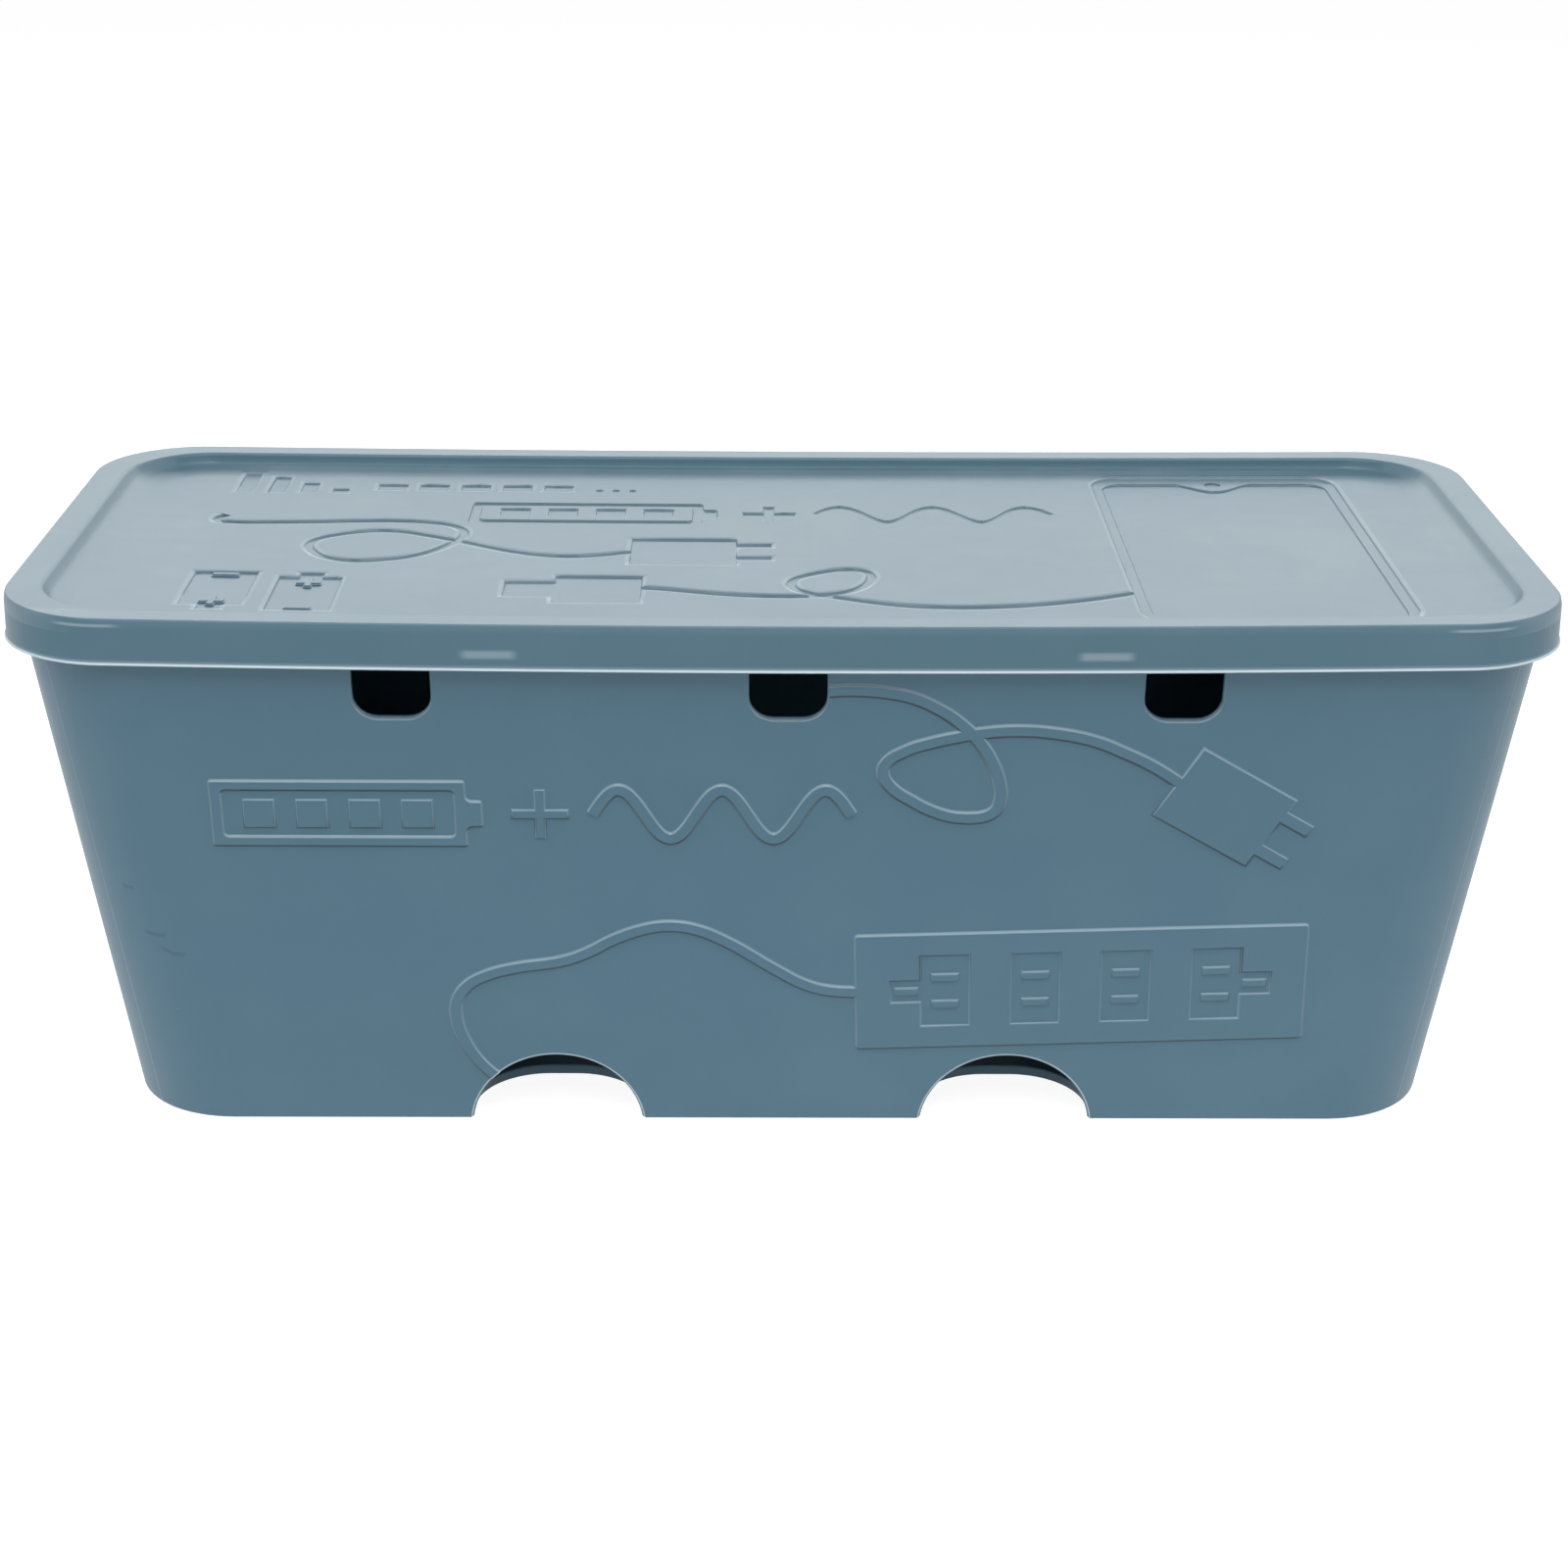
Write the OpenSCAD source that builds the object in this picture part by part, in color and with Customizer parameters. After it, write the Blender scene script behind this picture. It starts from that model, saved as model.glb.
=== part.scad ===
// Cable management box: a tapered tub that holds a power strip and its leads,
// and a lid that lifts straight off it.
// Millimetres. +Z is up, the front faces -Y, the origin is the middle of the base.

/* [Tub] */
// Width of the base, outside
base_w = 290.4; // [270:0.2:320]
// Depth of the base, outside
base_d = 100.4; // [94:0.2:140]
// How far each wall leans out between the base and the rim band
wall_lean = 14; // [8:0.5:18]
// Height at which the leaning wall ends and the upright rim band begins
lean_h = 112.4; // [104:0.2:130]
// Height of the upright rim band, which the lid covers
band_h = 7.5; // [6:0.1:10]
// Outside radius of the upright corners
corner_r = 24; // [16:0.5:30]
// Thickness of the walls
wall_t = 1.8; // [1.4:0.1:2.6]
// Thickness of the floor
floor_t = 2.2; // [1.6:0.1:4]
// How far the snap bead stands out from the rim band
bead_out = 0.35; // [0.2:0.05:0.6]
// Height of the snap bead
bead_h = 1.6; // [1:0.1:2.4]
// Distance from the rim down to the snap bead
bead_drop = 1.6; // [0.8:0.1:2.4]

/* [Cable slots at the rim] */
// Number of slots in each long wall
slot_count = 3; // [1:1:3]
// Width of a slot
slot_w = 16.2; // [10:0.2:24]
// Distance between slot centres
slot_pitch = 81; // [50:0.5:84]
// Height of the slot's sill above the base
slot_sill = 99.4; // [96:0.2:102]
// Radius of the slot's lower corners
slot_r = 4.6; // [2:0.1:4.8]

/* [Cable arches at the base] */
// Number of arches in each long wall
arch_count = 2; // [1:1:2]
// Distance between arch centres
arch_pitch = 98.8; // [80:0.2:120]
// Radius of the arch
arch_r = 19; // [12:0.5:20]
// How far the centre of the arch lies below the base
arch_drop = 2; // [0:0.2:6]
// How far the floor is cut back behind the wall
notch_depth = 22; // [17:0.5:30]
// How far the sides of the cut in the floor stand in from the arch
notch_step = 0.8; // [0.7:0.1:2]
// Corner radius of the cut in the floor
notch_r = 15.5; // [8:0.5:16]

/* [Lid] */
// Thickness of the lid's land and panel
lid_t = 1.8; // [1.4:0.1:2.4]
// Thickness of the skirt
skirt_t = 1.6; // [1.2:0.1:2]
// Height of the skirt, from its lower edge to the top of the lid
skirt_h = 9.6; // [8:0.2:12]
// How far the skirt spreads towards its lower edge
skirt_flare = 0.8; // [0.4:0.1:1.2]
// How far the lip at the skirt's lower edge stands out
lip_out = 0.5; // [0.2:0.1:1]
// Height of that lip
lip_h = 1.3; // [0.8:0.1:2]
// Outside radius of the lid's corners
lid_r = 24; // [20:0.5:28]
// Depth of the sunk panel
panel_drop = 3.3; // [2:0.1:5]
// How far the panel's surround slopes inwards
panel_lean = 0.9; // [0.3:0.1:2]
// Length of a snap bump inside the skirt
bump_w = 12; // [8:0.5:16]
// Distance between the two snap bumps of a long side
bump_pitch = 125; // [90:1:150]
// Height of a snap bump
bump_h = 1.8; // [1.2:0.1:2.4]

/* [Clearances] */
// Gap between the rim and the underside of the land
seat_gap = 0.3; // [0.1:0.05:0.5]
// Gap between the rim band and the lip's level of the skirt
skirt_gap = 1.7; // [1.4:0.1:2.2]
// Gap between the mouth of the tub and the panel's surround
mouth_gap = 0.4; // [0.2:0.05:0.8]
// Gap between a snap bump and the snap bead, so that the rigid lid lifts freely
bump_gap = 0.3; // [0.2:0.05:0.5]

/* [Figures] */
// How far the front figures stand out of the wall
relief_h = 0.55; // [0.3:0.05:1]
// How deep the lid figures are sunk into the panel
sunk_h = 0.45; // [0.2:0.05:0.8]
// Width of the cords drawn on the front
cord_w = 2.7; // [1.6:0.1:3.2]
// Width of the cords drawn on the lid
lid_cord_w = 2; // [1:0.1:2.4]
// Width of the lines of the cell and plus signs
line_w = 2.2; // [1.6:0.1:2.6]

/* [Hidden] */
$fn = 96;
plastic = [0.40, 0.51, 0.58];
skin = 0.05;                 // thickness of the slices that a leaning wall is drawn between
cut = 1;                     // how far a cut runs past the face that it opens

rim_z = lean_h + band_h;
rim_w = base_w + 2 * wall_lean;
rim_d = base_d + 2 * wall_lean;
lean_a = atan(wall_lean / lean_h);
wall_across = wall_t / cos(lean_a);     // the leaning wall's thickness, measured level
mouth_w = rim_w - 2 * wall_t;
mouth_d = rim_d - 2 * wall_t;
mouth_r = corner_r - wall_t;

lid_z = rim_z + seat_gap + lid_t;
skirt_z = lid_z - skirt_h;
panel_z = lid_z - panel_drop;
skirt_w = rim_w + 2 * (skirt_gap + skirt_t - lip_out);  // outside of the skirt, without its lip
skirt_d = rim_d + 2 * (skirt_gap + skirt_t - lip_out);
skirt_r = lid_r - lip_out;
surround_w = mouth_w - 2 * mouth_gap;   // outside of the panel's surround, level with the rim
surround_d = mouth_d - 2 * mouth_gap;
surround_r = mouth_r - mouth_gap;
bead_z = rim_z - bead_drop - bead_h;

// Flat room for the figures on the front wall and on the panel, and the room they were drawn for
wall_room = [base_w - 2 * corner_r, lean_h / cos(lean_a)];
drawn_wall = [242.4, 113.3];
wall_scale = min(wall_room.x / drawn_wall.x, wall_room.y / drawn_wall.y);
panel_room = [surround_w - 2 * lid_t - 2 * panel_lean, surround_d - 2 * lid_t - 2 * panel_lean];
drawn_panel = [308.6, 118.6];
panel_scale = min(panel_room.x / drawn_panel.x, panel_room.y / drawn_panel.y);

// Even places about the middle for a row of count copies
function row(count, pitch) = [for (i = [0 : count - 1]) (i - (count - 1) / 2) * pitch];

// ---- flat shapes ----

module rounded_rect(w, d, r) {
    square([w - 2 * r, d], center = true);
    square([w, d - 2 * r], center = true);
    for (x = [-1, 1], y = [-1, 1])
        translate([x * (w / 2 - r), y * (d / 2 - r)]) circle(r);
}

// A smooth curve through the points p, with n steps between neighbours
function blend(a, b, c, d, t) =
    0.5 * (2 * b + (c - a) * t + (2 * a - 5 * b + 4 * c - d) * t * t + (3 * b - a - 3 * c + d) * t * t * t);
function curve(p, n) = [
    for (i = [0 : len(p) - 2], k = [0 : n - 1])
        blend(p[max(i - 1, 0)], p[i], p[i + 1], p[min(i + 2, len(p) - 1)], k / n),
    p[len(p) - 1]
];
function across(q, i) =
    let (t = q[min(i + 1, len(q) - 1)] - q[max(i - 1, 0)]) [-t.y, t.x] / norm(t);
function ribbon(q, w, first, last) = concat(
    [for (i = [first : last]) q[i] + across(q, i) * w / 2],
    [for (i = [last : -1 : first]) q[i] - across(q, i) * w / 2]
);

// A drawn cord of width w along the points p. A cord that crosses itself is drawn in two
// stretches that meet at point number split, because one outline can't cross itself.
module cord(p, w, split = 0, n = 5) {
    q = curve(p, n);
    end = len(q) - 1;
    if (split > 0) polygon(ribbon(q, w, 0, split * n));
    polygon(ribbon(q, w, split * n, end));
}

module frame_2d(w, d, line, r) {
    difference() {
        rounded_rect(w, d, r);
        rounded_rect(w - 2 * line, d - 2 * line, max(r - line, 0.2));
    }
}

module plus_2d(size, line) {
    square([size, line], center = true);
    square([line, size], center = true);
}

// ---- figures ----

// A two-pin plug that points along +X, with the middle of its cord end at the origin
module plug_2d(size, pin, pin_pitch) {
    translate([0, -size.y / 2]) square(size);
    for (y = [-1, 1]) translate([size.x - cut, y * pin_pitch / 2 - pin.y / 2]) square([pin.x + cut, pin.y]);
}

// A row of a charging cell, a plus sign and a waving cord, 134 wide and 16.5 high
cell_size = [54, 16.5];
cell_pole = [3.4, 7];
cell_bar = [7.4, 7.7];
wave_w = 54;
wave_h = 5.8;
wave_turns = 2.5;
module cell_row_2d(cord_line) {
    translate([cell_size.x / 2, 0]) frame_2d(cell_size.x, cell_size.y, line_w, 4);
    translate([cell_size.x + cell_pole.x / 2 - cut / 2, 0]) square([cell_pole.x + cut, cell_pole.y], center = true);
    for (x = row(4, cell_bar.x + 3.6)) translate([cell_size.x / 2 + x, 0]) square(cell_bar, center = true);
    translate([69, 0]) plus_2d(12, line_w + 0.2);
    steps = 20;
    cord([for (i = [0 : steps]) [80 + i * wave_w / steps, wave_h * sin(i * 360 * wave_turns / steps)]],
         cord_line, n = 3);
}

// The face of the drawn power strip: four sockets, the outer two with a tab for an earth pin
strip_size = [98.2, 30];
socket = [11.6, 19];
socket_pitch = 19.5;
tab = [6.5, 6.6];
pin_hole = [6.2, 2.2];
earth_pin = [5.4, 2.2];
module strip_plate_2d() {
    edge = socket_pitch * 1.5 + socket.x / 2;
    difference() {
        square(strip_size, center = true);
        for (x = row(4, socket_pitch)) translate([x, 0]) square(socket, center = true);
        for (s = [-1, 1]) translate([s * (edge + (tab.x - cut) / 2), 0])
            square([tab.x + cut, tab.y], center = true);
    }
    for (x = row(4, socket_pitch), y = [-3.4, 3.4]) translate([x, y]) square(pin_hole, center = true);
    for (s = [-1, 1]) translate([s * (edge + 2.6), 0]) square(earth_pin, center = true);
}

strip_middle = [64.4, 35];
strip_turn = 1.9;
plug_turn = -31;
plug_middle = [81.5, 85.9];
slot_edge = [slot_w / 2 / wall_scale, 106.4];
arch_edge = [-arch_pitch / 2 - 12.4, 10.6] / wall_scale;

module front_figures_2d() {
    // cord from the middle slot, once round a loop, to the plug
    cord([slot_edge, [14.4, 106.7], [20.6, 106.2], [26.4, 104.9], [31.4, 102.5], [35.6, 99.6], [40.2, 94.8],
          [43, 90.2], [44.7, 85.4], [45, 81.2], [43.8, 78.4], [40.6, 77], [36, 77], [31, 78.5], [26.2, 81.2],
          [22.4, 84], [20.5, 87], [20.7, 89.4], [25.1, 92.8], [30.1, 94.6], [35.8, 96], [41.2, 97], [48, 97.5],
          [56, 96.9], [64.4, 95], [70.4, 92.4], [76.1, 89.5], plug_middle + [0.8, -0.5]], cord_w, 11);
    translate(plug_middle) rotate(plug_turn) plug_2d([24.8, 19.5], [6.7, 3.9], 9.1);
    // cord from the left arch to the power strip
    cord([arch_edge, [-66.4, 15.7], [-69.2, 21.1], [-70.7, 26.7], [-70.4, 31.1], [-68, 35], [-63.6, 37.7],
          [-58.1, 39.4], [-46.7, 41.5], [-41.7, 43.6], [-36.4, 46.7], [-30.3, 49.2], [-24.7, 50.2],
          [-18.9, 49.4], [-12.8, 46.7], [-1.4, 39.2], [4.2, 35.8], [9.2, 34.1], [17, 33.5]], cord_w);
    translate(strip_middle) rotate(strip_turn) strip_plate_2d();
    translate([-120, 77.5]) cell_row_2d(cord_w);
}

phone_size = [58.7, 109.8];
phone_middle = [103.45, 0.8];
screen_size = [54.1, 103.4];
drop_size = [17, 6];
eye_d = 4.2;
// The screen of the drawn telephone: a step down, but for a bell-shaped drop that holds a round eye
module screen_2d() {
    steps = 12;
    top = screen_size.y / 2;
    bell = [for (i = [0 : steps])
        [(i / steps - 0.5) * drop_size.x, top - drop_size.y * pow((1 - cos(360 * i / steps)) / 2, 0.75)]];
    difference() {
        rounded_rect(screen_size.x, screen_size.y, 5);
        polygon(concat(bell, [[drop_size.x / 2, top + cut], [-drop_size.x / 2, top + cut]]));
    }
    translate([0, top - 1.2]) circle(d = eye_d, $fn = 24);
}

battery_size = [14, 23];
battery_pole = [5.6, 2.8];
// An upright battery cell; pole is +1 with its pole at the top and -1 at the bottom, and
// plus_drop is how far its plus sign lies in from that end
module battery_2d(pole, plus_drop) {
    difference() {
        square(battery_size, center = true);
        translate([0, pole * (battery_size.y / 2 - plus_drop)]) plus_2d(5.4, 1.7);
        translate([0, -pole * (battery_size.y / 2 - 1.9)]) square([5.8, 1.7], center = true);
    }
    translate([0, pole * (battery_size.y + battery_pole.y - cut) / 2])
        square([battery_pole.x, battery_pole.y + cut], center = true);
}

level_bars = [16.3, 13.4, 8.8, 4.2];
module lid_figures_2d() {
    for (i = [0 : len(level_bars) - 1]) translate([-128.5 + i * 7.5, 38.7]) square([4.1, level_bars[i]]);
    // a row of dashes and dots
    for (i = [0 : 4]) translate([-95.6 + i * 9.8, 41.6]) square([7.2, 5.4]);
    for (i = [0 : 2]) translate([-43 + i * 3.9, 42.4]) circle(d = 1.8, $fn = 24);
    translate([-72, 23.8]) cell_row_2d(line_w);
    // cord with a loop, to the plug
    cord([[-127.2, 19.6], [-128.8, 17.2], [-128.2, 15], [-125.6, 14.2], [-115, 14.4], [-105, 15.2], [-95, 16.2],
          [-87.6, 16.5], [-80, 15.5], [-75.6, 13.7], [-72.6, 10.8], [-71.7, 6.8], [-72.6, 2.6], [-75.8, -3.7],
          [-79.4, -8.3], [-84.7, -11.9], [-92.5, -14], [-99.9, -11.9], [-103.6, -7.4], [-105.2, -2.4],
          [-103.5, 2.2], [-98.7, 6], [-94.4, 8], [-90, 8.8], [-85.1, 7.9], [-80.2, 5.6], [-71.5, 0.9],
          [-66.2, -2.5], [-60.2, -5.9], [-53.6, -8.4], [-47, -9.2], [-40.6, -8.1], [-33, -5.3]],
         lid_cord_w, 15, 4);
    translate([-34, -5]) plug_2d([23.9, 19.4], [7.6, 3.1], 9.3);
    // connector, and its cord with a loop that ends at the phone
    translate([-39.8, -32.3]) square([19.2, 18.8], center = true);
    translate([-54.2, -32.3]) square([11.6, 11], center = true);
    cord([[-31, -31], [-26, -31.8], [-20, -33.4], [-14.6, -34.8], [-8, -35.9], [-2, -36.4], [4.6, -36.2],
          [10.4, -34.7], [14.5, -32.2], [17.2, -28.6], [18.6, -24.5], [18.8, -21.3], [17.4, -18.6], [14, -17.6],
          [8.8, -19.3], [4.8, -22], [2.2, -24.9], [1.5, -27.8], [2.3, -31], [4.4, -33.4], [7.4, -35.5],
          [11.4, -37.2], [16.2, -39.4], [21.5, -41.4], [26.8, -42.8], [33.8, -43.6], [39.1, -43.7],
          [45.4, -43.2], [53.4, -41.9], [61.5, -39.6], [68.4, -37], [75.6, -33.6]], lid_cord_w, 14, 4);
    translate([-119.8, -34.3]) battery_2d(-1, 3);
    translate([-101.4, -37.2]) battery_2d(1, 4);
    translate(phone_middle) rounded_rect(phone_size.x, phone_size.y, 7.5);
}

// ---- tub ----

module slice(w, d, r) linear_extrude(skin) rounded_rect(w, d, r);

// A rounded block whose sides lean out by lean between z = 0 and z = h
module leaning_block(w, d, r, h, lean) {
    hull() {
        slice(w, d, r);
        translate([0, 0, h - skin]) slice(w + 2 * lean, d + 2 * lean, r);
    }
}

// Puts a flat drawing on the front wall: x across it, y up along it, z out of it
module on_front_wall() translate([0, -base_d / 2, 0]) rotate([90 + lean_a, 0, 0]) children();

module slot_cut() {
    high = rim_z - slot_sill + cut;
    translate([0, 0, slot_sill]) rotate([90, 0, 0]) linear_extrude(rim_d + 2 * cut, center = true) {
        translate([0, high / 2 + slot_r / 2]) square([slot_w, high - slot_r], center = true);
        translate([0, high / 2]) square([slot_w - 2 * slot_r, high], center = true);
        for (s = [-1, 1]) translate([s * (slot_w / 2 - slot_r), slot_r]) circle(slot_r);
    }
}

// The arch goes through both long walls, and each end runs on into the floor
module arch_cut() {
    translate([0, 0, -arch_drop]) rotate([90, 0, 0]) difference() {
        cylinder(r = arch_r, h = rim_d + 2 * cut, center = true);
        cylinder(r = arch_r + cut, h = base_d - 2 * wall_across - 2 * cut, center = true);
    }
    for (s = [-1, 1]) translate([0, s * base_d / 2, -cut]) linear_extrude(floor_t + 2 * cut)
        rounded_rect(2 * (arch_r - notch_step), 2 * notch_depth, notch_r);
}

module tub() {
    color(plastic) union() {
        difference() {
            union() {
                leaning_block(base_w, base_d, corner_r, lean_h, wall_lean);
                translate([0, 0, lean_h - skin]) linear_extrude(band_h + skin) rounded_rect(rim_w, rim_d, corner_r);
                translate([0, 0, bead_z]) linear_extrude(bead_h)
                    rounded_rect(rim_w + 2 * bead_out, rim_d + 2 * bead_out, corner_r + bead_out);
            }
            inner_lean = wall_lean * (lean_h - floor_t) / lean_h;
            translate([0, 0, floor_t]) leaning_block(
                mouth_w - 2 * inner_lean, mouth_d - 2 * inner_lean, mouth_r, lean_h - floor_t, inner_lean);
            translate([0, 0, lean_h - skin]) linear_extrude(band_h + cut) rounded_rect(mouth_w, mouth_d, mouth_r);
            for (x = row(slot_count, slot_pitch)) translate([x, 0, 0]) slot_cut();
            for (x = row(arch_count, arch_pitch)) translate([x, 0, 0]) arch_cut();
        }
        on_front_wall() translate([0, 0, -wall_t / 2]) linear_extrude(wall_t / 2 + relief_h)
            scale([wall_scale, wall_scale, 1]) front_figures_2d();
    }
}

// ---- lid ----

// A rounded block whose sides go out by lean between z = 0 and z = h, and whose corner radius grows with them
module drafted_block(w, d, r, h, lean) {
    long = w / 2 - r;
    deep = d / 2 - r;
    for (x = [-1, 1], y = [-1, 1]) translate([x * long, y * deep, 0]) cylinder(r1 = r, r2 = r + lean, h = h);
    rotate([90, 0, 0]) linear_extrude(2 * deep, center = true)
        polygon([[-w / 2, 0], [w / 2, 0], [w / 2 + lean, h], [-w / 2 - lean, h]]);
    rotate([90, 0, 90]) linear_extrude(2 * long, center = true)
        polygon([[-d / 2, 0], [d / 2, 0], [d / 2 + lean, h], [-d / 2 - lean, h]]);
}

module skirt_block(inset, h) {
    drafted_block(skirt_w - 2 * inset, skirt_d - 2 * inset, skirt_r - inset, h, -skirt_flare * h / skirt_h);
}

// Snap bump: a low ramp on the inside of the skirt, just below the tub's bead
module bump(side) {
    face = rim_d / 2 + bead_out + bump_gap;
    root = skirt_d / 2 - skirt_t / 2;
    top = bead_z - bump_gap;
    for (x = row(2, bump_pitch)) translate([x, 0, 0]) rotate([90, 0, side * 90])
        linear_extrude(bump_w, center = true)
            polygon([[face, top - bump_h * 0.6], [face, top - bump_h * 0.3], [root, top], [root, top - bump_h]]);
}

module lid() {
    color(plastic) difference() {
        union() {
            difference() {
                union() {
                    translate([0, 0, skirt_z]) skirt_block(0, skirt_h);
                    translate([0, 0, skirt_z]) linear_extrude(lip_h)
                        rounded_rect(skirt_w + 2 * lip_out, skirt_d + 2 * lip_out, skirt_r + lip_out);
                }
                translate([0, 0, skirt_z]) skirt_block(skirt_t, skirt_h - lid_t);
                translate([0, 0, skirt_z - cut]) linear_extrude(cut + skin)
                    rounded_rect(skirt_w - 2 * skirt_t, skirt_d - 2 * skirt_t, skirt_r - skirt_t);
            }
            translate([0, 0, panel_z - lid_t]) drafted_block(
                surround_w - 2 * panel_lean, surround_d - 2 * panel_lean, surround_r - panel_lean,
                panel_drop, panel_lean);
            for (side = [-1, 1]) bump(side);
        }
        translate([0, 0, panel_z]) drafted_block(
            surround_w - 2 * lid_t - 2 * panel_lean, surround_d - 2 * lid_t - 2 * panel_lean,
            surround_r - lid_t - panel_lean, panel_drop + skin, panel_lean);
        translate([0, 0, panel_z - sunk_h]) linear_extrude(sunk_h + skin)
            scale([panel_scale, panel_scale, 1]) lid_figures_2d();
        translate([0, 0, panel_z - 2 * sunk_h]) linear_extrude(sunk_h + skin)
            scale([panel_scale, panel_scale, 1]) translate(phone_middle - [0, 0.9]) screen_2d();
    }
}

tub();
lid();
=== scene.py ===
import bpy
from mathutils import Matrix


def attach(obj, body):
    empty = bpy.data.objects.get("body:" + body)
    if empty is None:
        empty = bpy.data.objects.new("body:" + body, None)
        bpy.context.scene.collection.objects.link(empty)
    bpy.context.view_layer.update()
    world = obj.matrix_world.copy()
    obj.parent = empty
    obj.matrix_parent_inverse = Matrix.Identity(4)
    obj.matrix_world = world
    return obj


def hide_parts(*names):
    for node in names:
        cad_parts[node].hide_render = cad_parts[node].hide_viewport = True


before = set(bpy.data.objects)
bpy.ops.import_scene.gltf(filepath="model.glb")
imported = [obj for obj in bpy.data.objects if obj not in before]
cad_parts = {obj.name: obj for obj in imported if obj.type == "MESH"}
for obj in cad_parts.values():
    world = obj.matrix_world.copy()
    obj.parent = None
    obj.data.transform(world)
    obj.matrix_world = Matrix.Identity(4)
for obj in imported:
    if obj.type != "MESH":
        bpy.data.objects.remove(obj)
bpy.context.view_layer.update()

import math

import bmesh
import bpy
from bpy.props import FloatProperty, FloatVectorProperty, PointerProperty
from mathutils import Matrix, Vector

bl_info = {
    "name": "Cable box",
    "version": (1, 0, 0),
    "blender": (4, 5, 0),
    "location": "View3D > Sidebar > Cable box",
    "description": "Builds a moulded cable management box with its lid, and a plain stage for it",
    "category": "Object",
}

MM = 0.001
CORNER_STEPS = 18       # flats in a quarter turn of an upright corner
SAME = 1e-6             # points nearer than this are one point
SAME_ON_CORD = 1e-4     # the same for a cord drawn in millimetres
SHARP = 48              # an edge that turns by more degrees than this is shaded sharp
EVEN = 60               # how strongly large faces decide the shading


# ---- sizes and colours ----

def length(name, description, millimetres):
    return FloatProperty(name=name, description=description, default=millimetres * MM, min=0.0,
                         unit="LENGTH", subtype="DISTANCE", precision=5)


def share(name, description, default, top=1.0):
    return FloatProperty(name=name, description=description, default=default, min=0.0, max=top,
                         subtype="FACTOR")


def power(name, description, watts):
    return FloatProperty(name=name, description=description, default=watts, min=0.0, unit="POWER")


def colour(name, description, default):
    return FloatVectorProperty(name=name, description=description, default=default, size=3, min=0.0, max=1.0,
                               subtype="COLOR")


class TubSizes(bpy.types.PropertyGroup):
    base_w: length("Base width", "Width of the base, outside", 290.4)
    base_d: length("Base depth", "Depth of the base, outside", 100.4)
    lean: length("Wall lean", "How far each wall leans out between the base and the rim band", 14)
    lean_h: length("Lean height", "Height at which the upright rim band begins", 112.4)
    band_h: length("Band height", "Height of the upright rim band", 7.5)
    corner_r: length("Corner radius", "Outside radius of the upright corners", 24)
    wall: length("Wall", "Thickness of the walls", 1.8)
    floor: length("Floor", "Thickness of the floor", 2.2)
    bead_out: length("Bead", "How far the snap bead stands out", 0.35)
    bead_h: length("Bead height", "Height of the snap bead", 1.6)
    bead_drop: length("Bead drop", "Distance from the rim down to the snap bead", 1.6)
    slot_w: length("Slot width", "Width of a cable slot", 16.2)
    slot_pitch: length("Slot pitch", "Distance between slot centres", 81.1)
    slot_shift: length("Slot shift", "How far the row of slots lies to the right of the middle", 0.6)
    slot_sill: length("Slot sill", "Height of a slot's sill above the base", 99.4)
    slot_r: length("Slot radius", "Radius of a slot's lower corners", 5.4)
    arch_pitch: length("Arch pitch", "Distance between arch centres", 98.8)
    arch_r: length("Arch radius", "Radius of a cable arch", 19)
    arch_drop: length("Arch drop", "How far an arch's centre lies below the base", 2)
    notch_depth: length("Notch depth", "How far the floor is cut back behind an arch", 22)
    notch_r: length("Notch radius", "Corner radius of the cut in the floor", 16.2)
    relief: length("Relief", "How far the figures stand out of the front wall", 0.55)
    cord_w: length("Drawn cord", "Width of the cords drawn on the front", 2.7)


class LidSizes(bpy.types.PropertyGroup):
    skirt_w: length("Skirt width", "Width of the skirt above its lip, outside", 324.3)
    skirt_d: length("Skirt depth", "Depth of the skirt above its lip, outside", 134.3)
    skirt_r: length("Skirt radius", "Corner radius of the skirt above its lip", 23.65)
    skirt_h: length("Skirt height", "From the lower edge of the skirt to the top of the lid", 9.95)
    skirt_wall: length("Skirt wall", "Thickness of the skirt", 1.6)
    flare: length("Skirt flare", "How far the skirt spreads towards its lower edge", 0.2)
    lip_out: length("Lip", "How far the lip stands out of the skirt", 0.35)
    lip_h: length("Lip height", "Height over which the skirt curves out to its lip", 1.25)
    step_h: length("Step height", "Height of the small step back below the lip", 0.4)
    step_in: length("Step", "How far the skirt steps back below its lip", 0.3)
    edge_in: length("Edge slope", "How far the sloped band below the top edge leans in", 0.35)
    edge_h: length("Edge height", "Height of the sloped band below the top edge", 1.4)
    bump_w: length("Snap bump", "Length of a snap bump inside the skirt", 12)
    bump_pitch: length("Snap bump pitch", "Distance between the two snap bumps of a long side", 125)
    bump_h: length("Snap bump height", "Height of a snap bump", 1.8)
    top: length("Top", "Height of the lid's top above the base", 122)
    plate: length("Plate", "Thickness of the land and the panel", 1.8)
    panel_w: length("Panel width", "Width of the sunk panel at its upper edge", 309.4)
    panel_d: length("Panel depth", "Depth of the sunk panel at its upper edge, front to back", 121)
    panel_r: length("Panel radius", "Corner radius of the sunk panel at its upper edge", 19.6)
    drop: length("Panel drop", "How far the panel lies below the land", 3.3)
    sunk: length("Sunk figures", "How deep the figures are sunk into the panel", 0.45)
    cord_w: length("Drawn cord", "Width of the cords drawn on the lid", 2)
    sag_front: length("Front sag", "How far the middle of the front edge hangs", 1.56)
    sag_back: length("Back sag", "How far the middle of the back edge hangs", 0.8)


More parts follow.
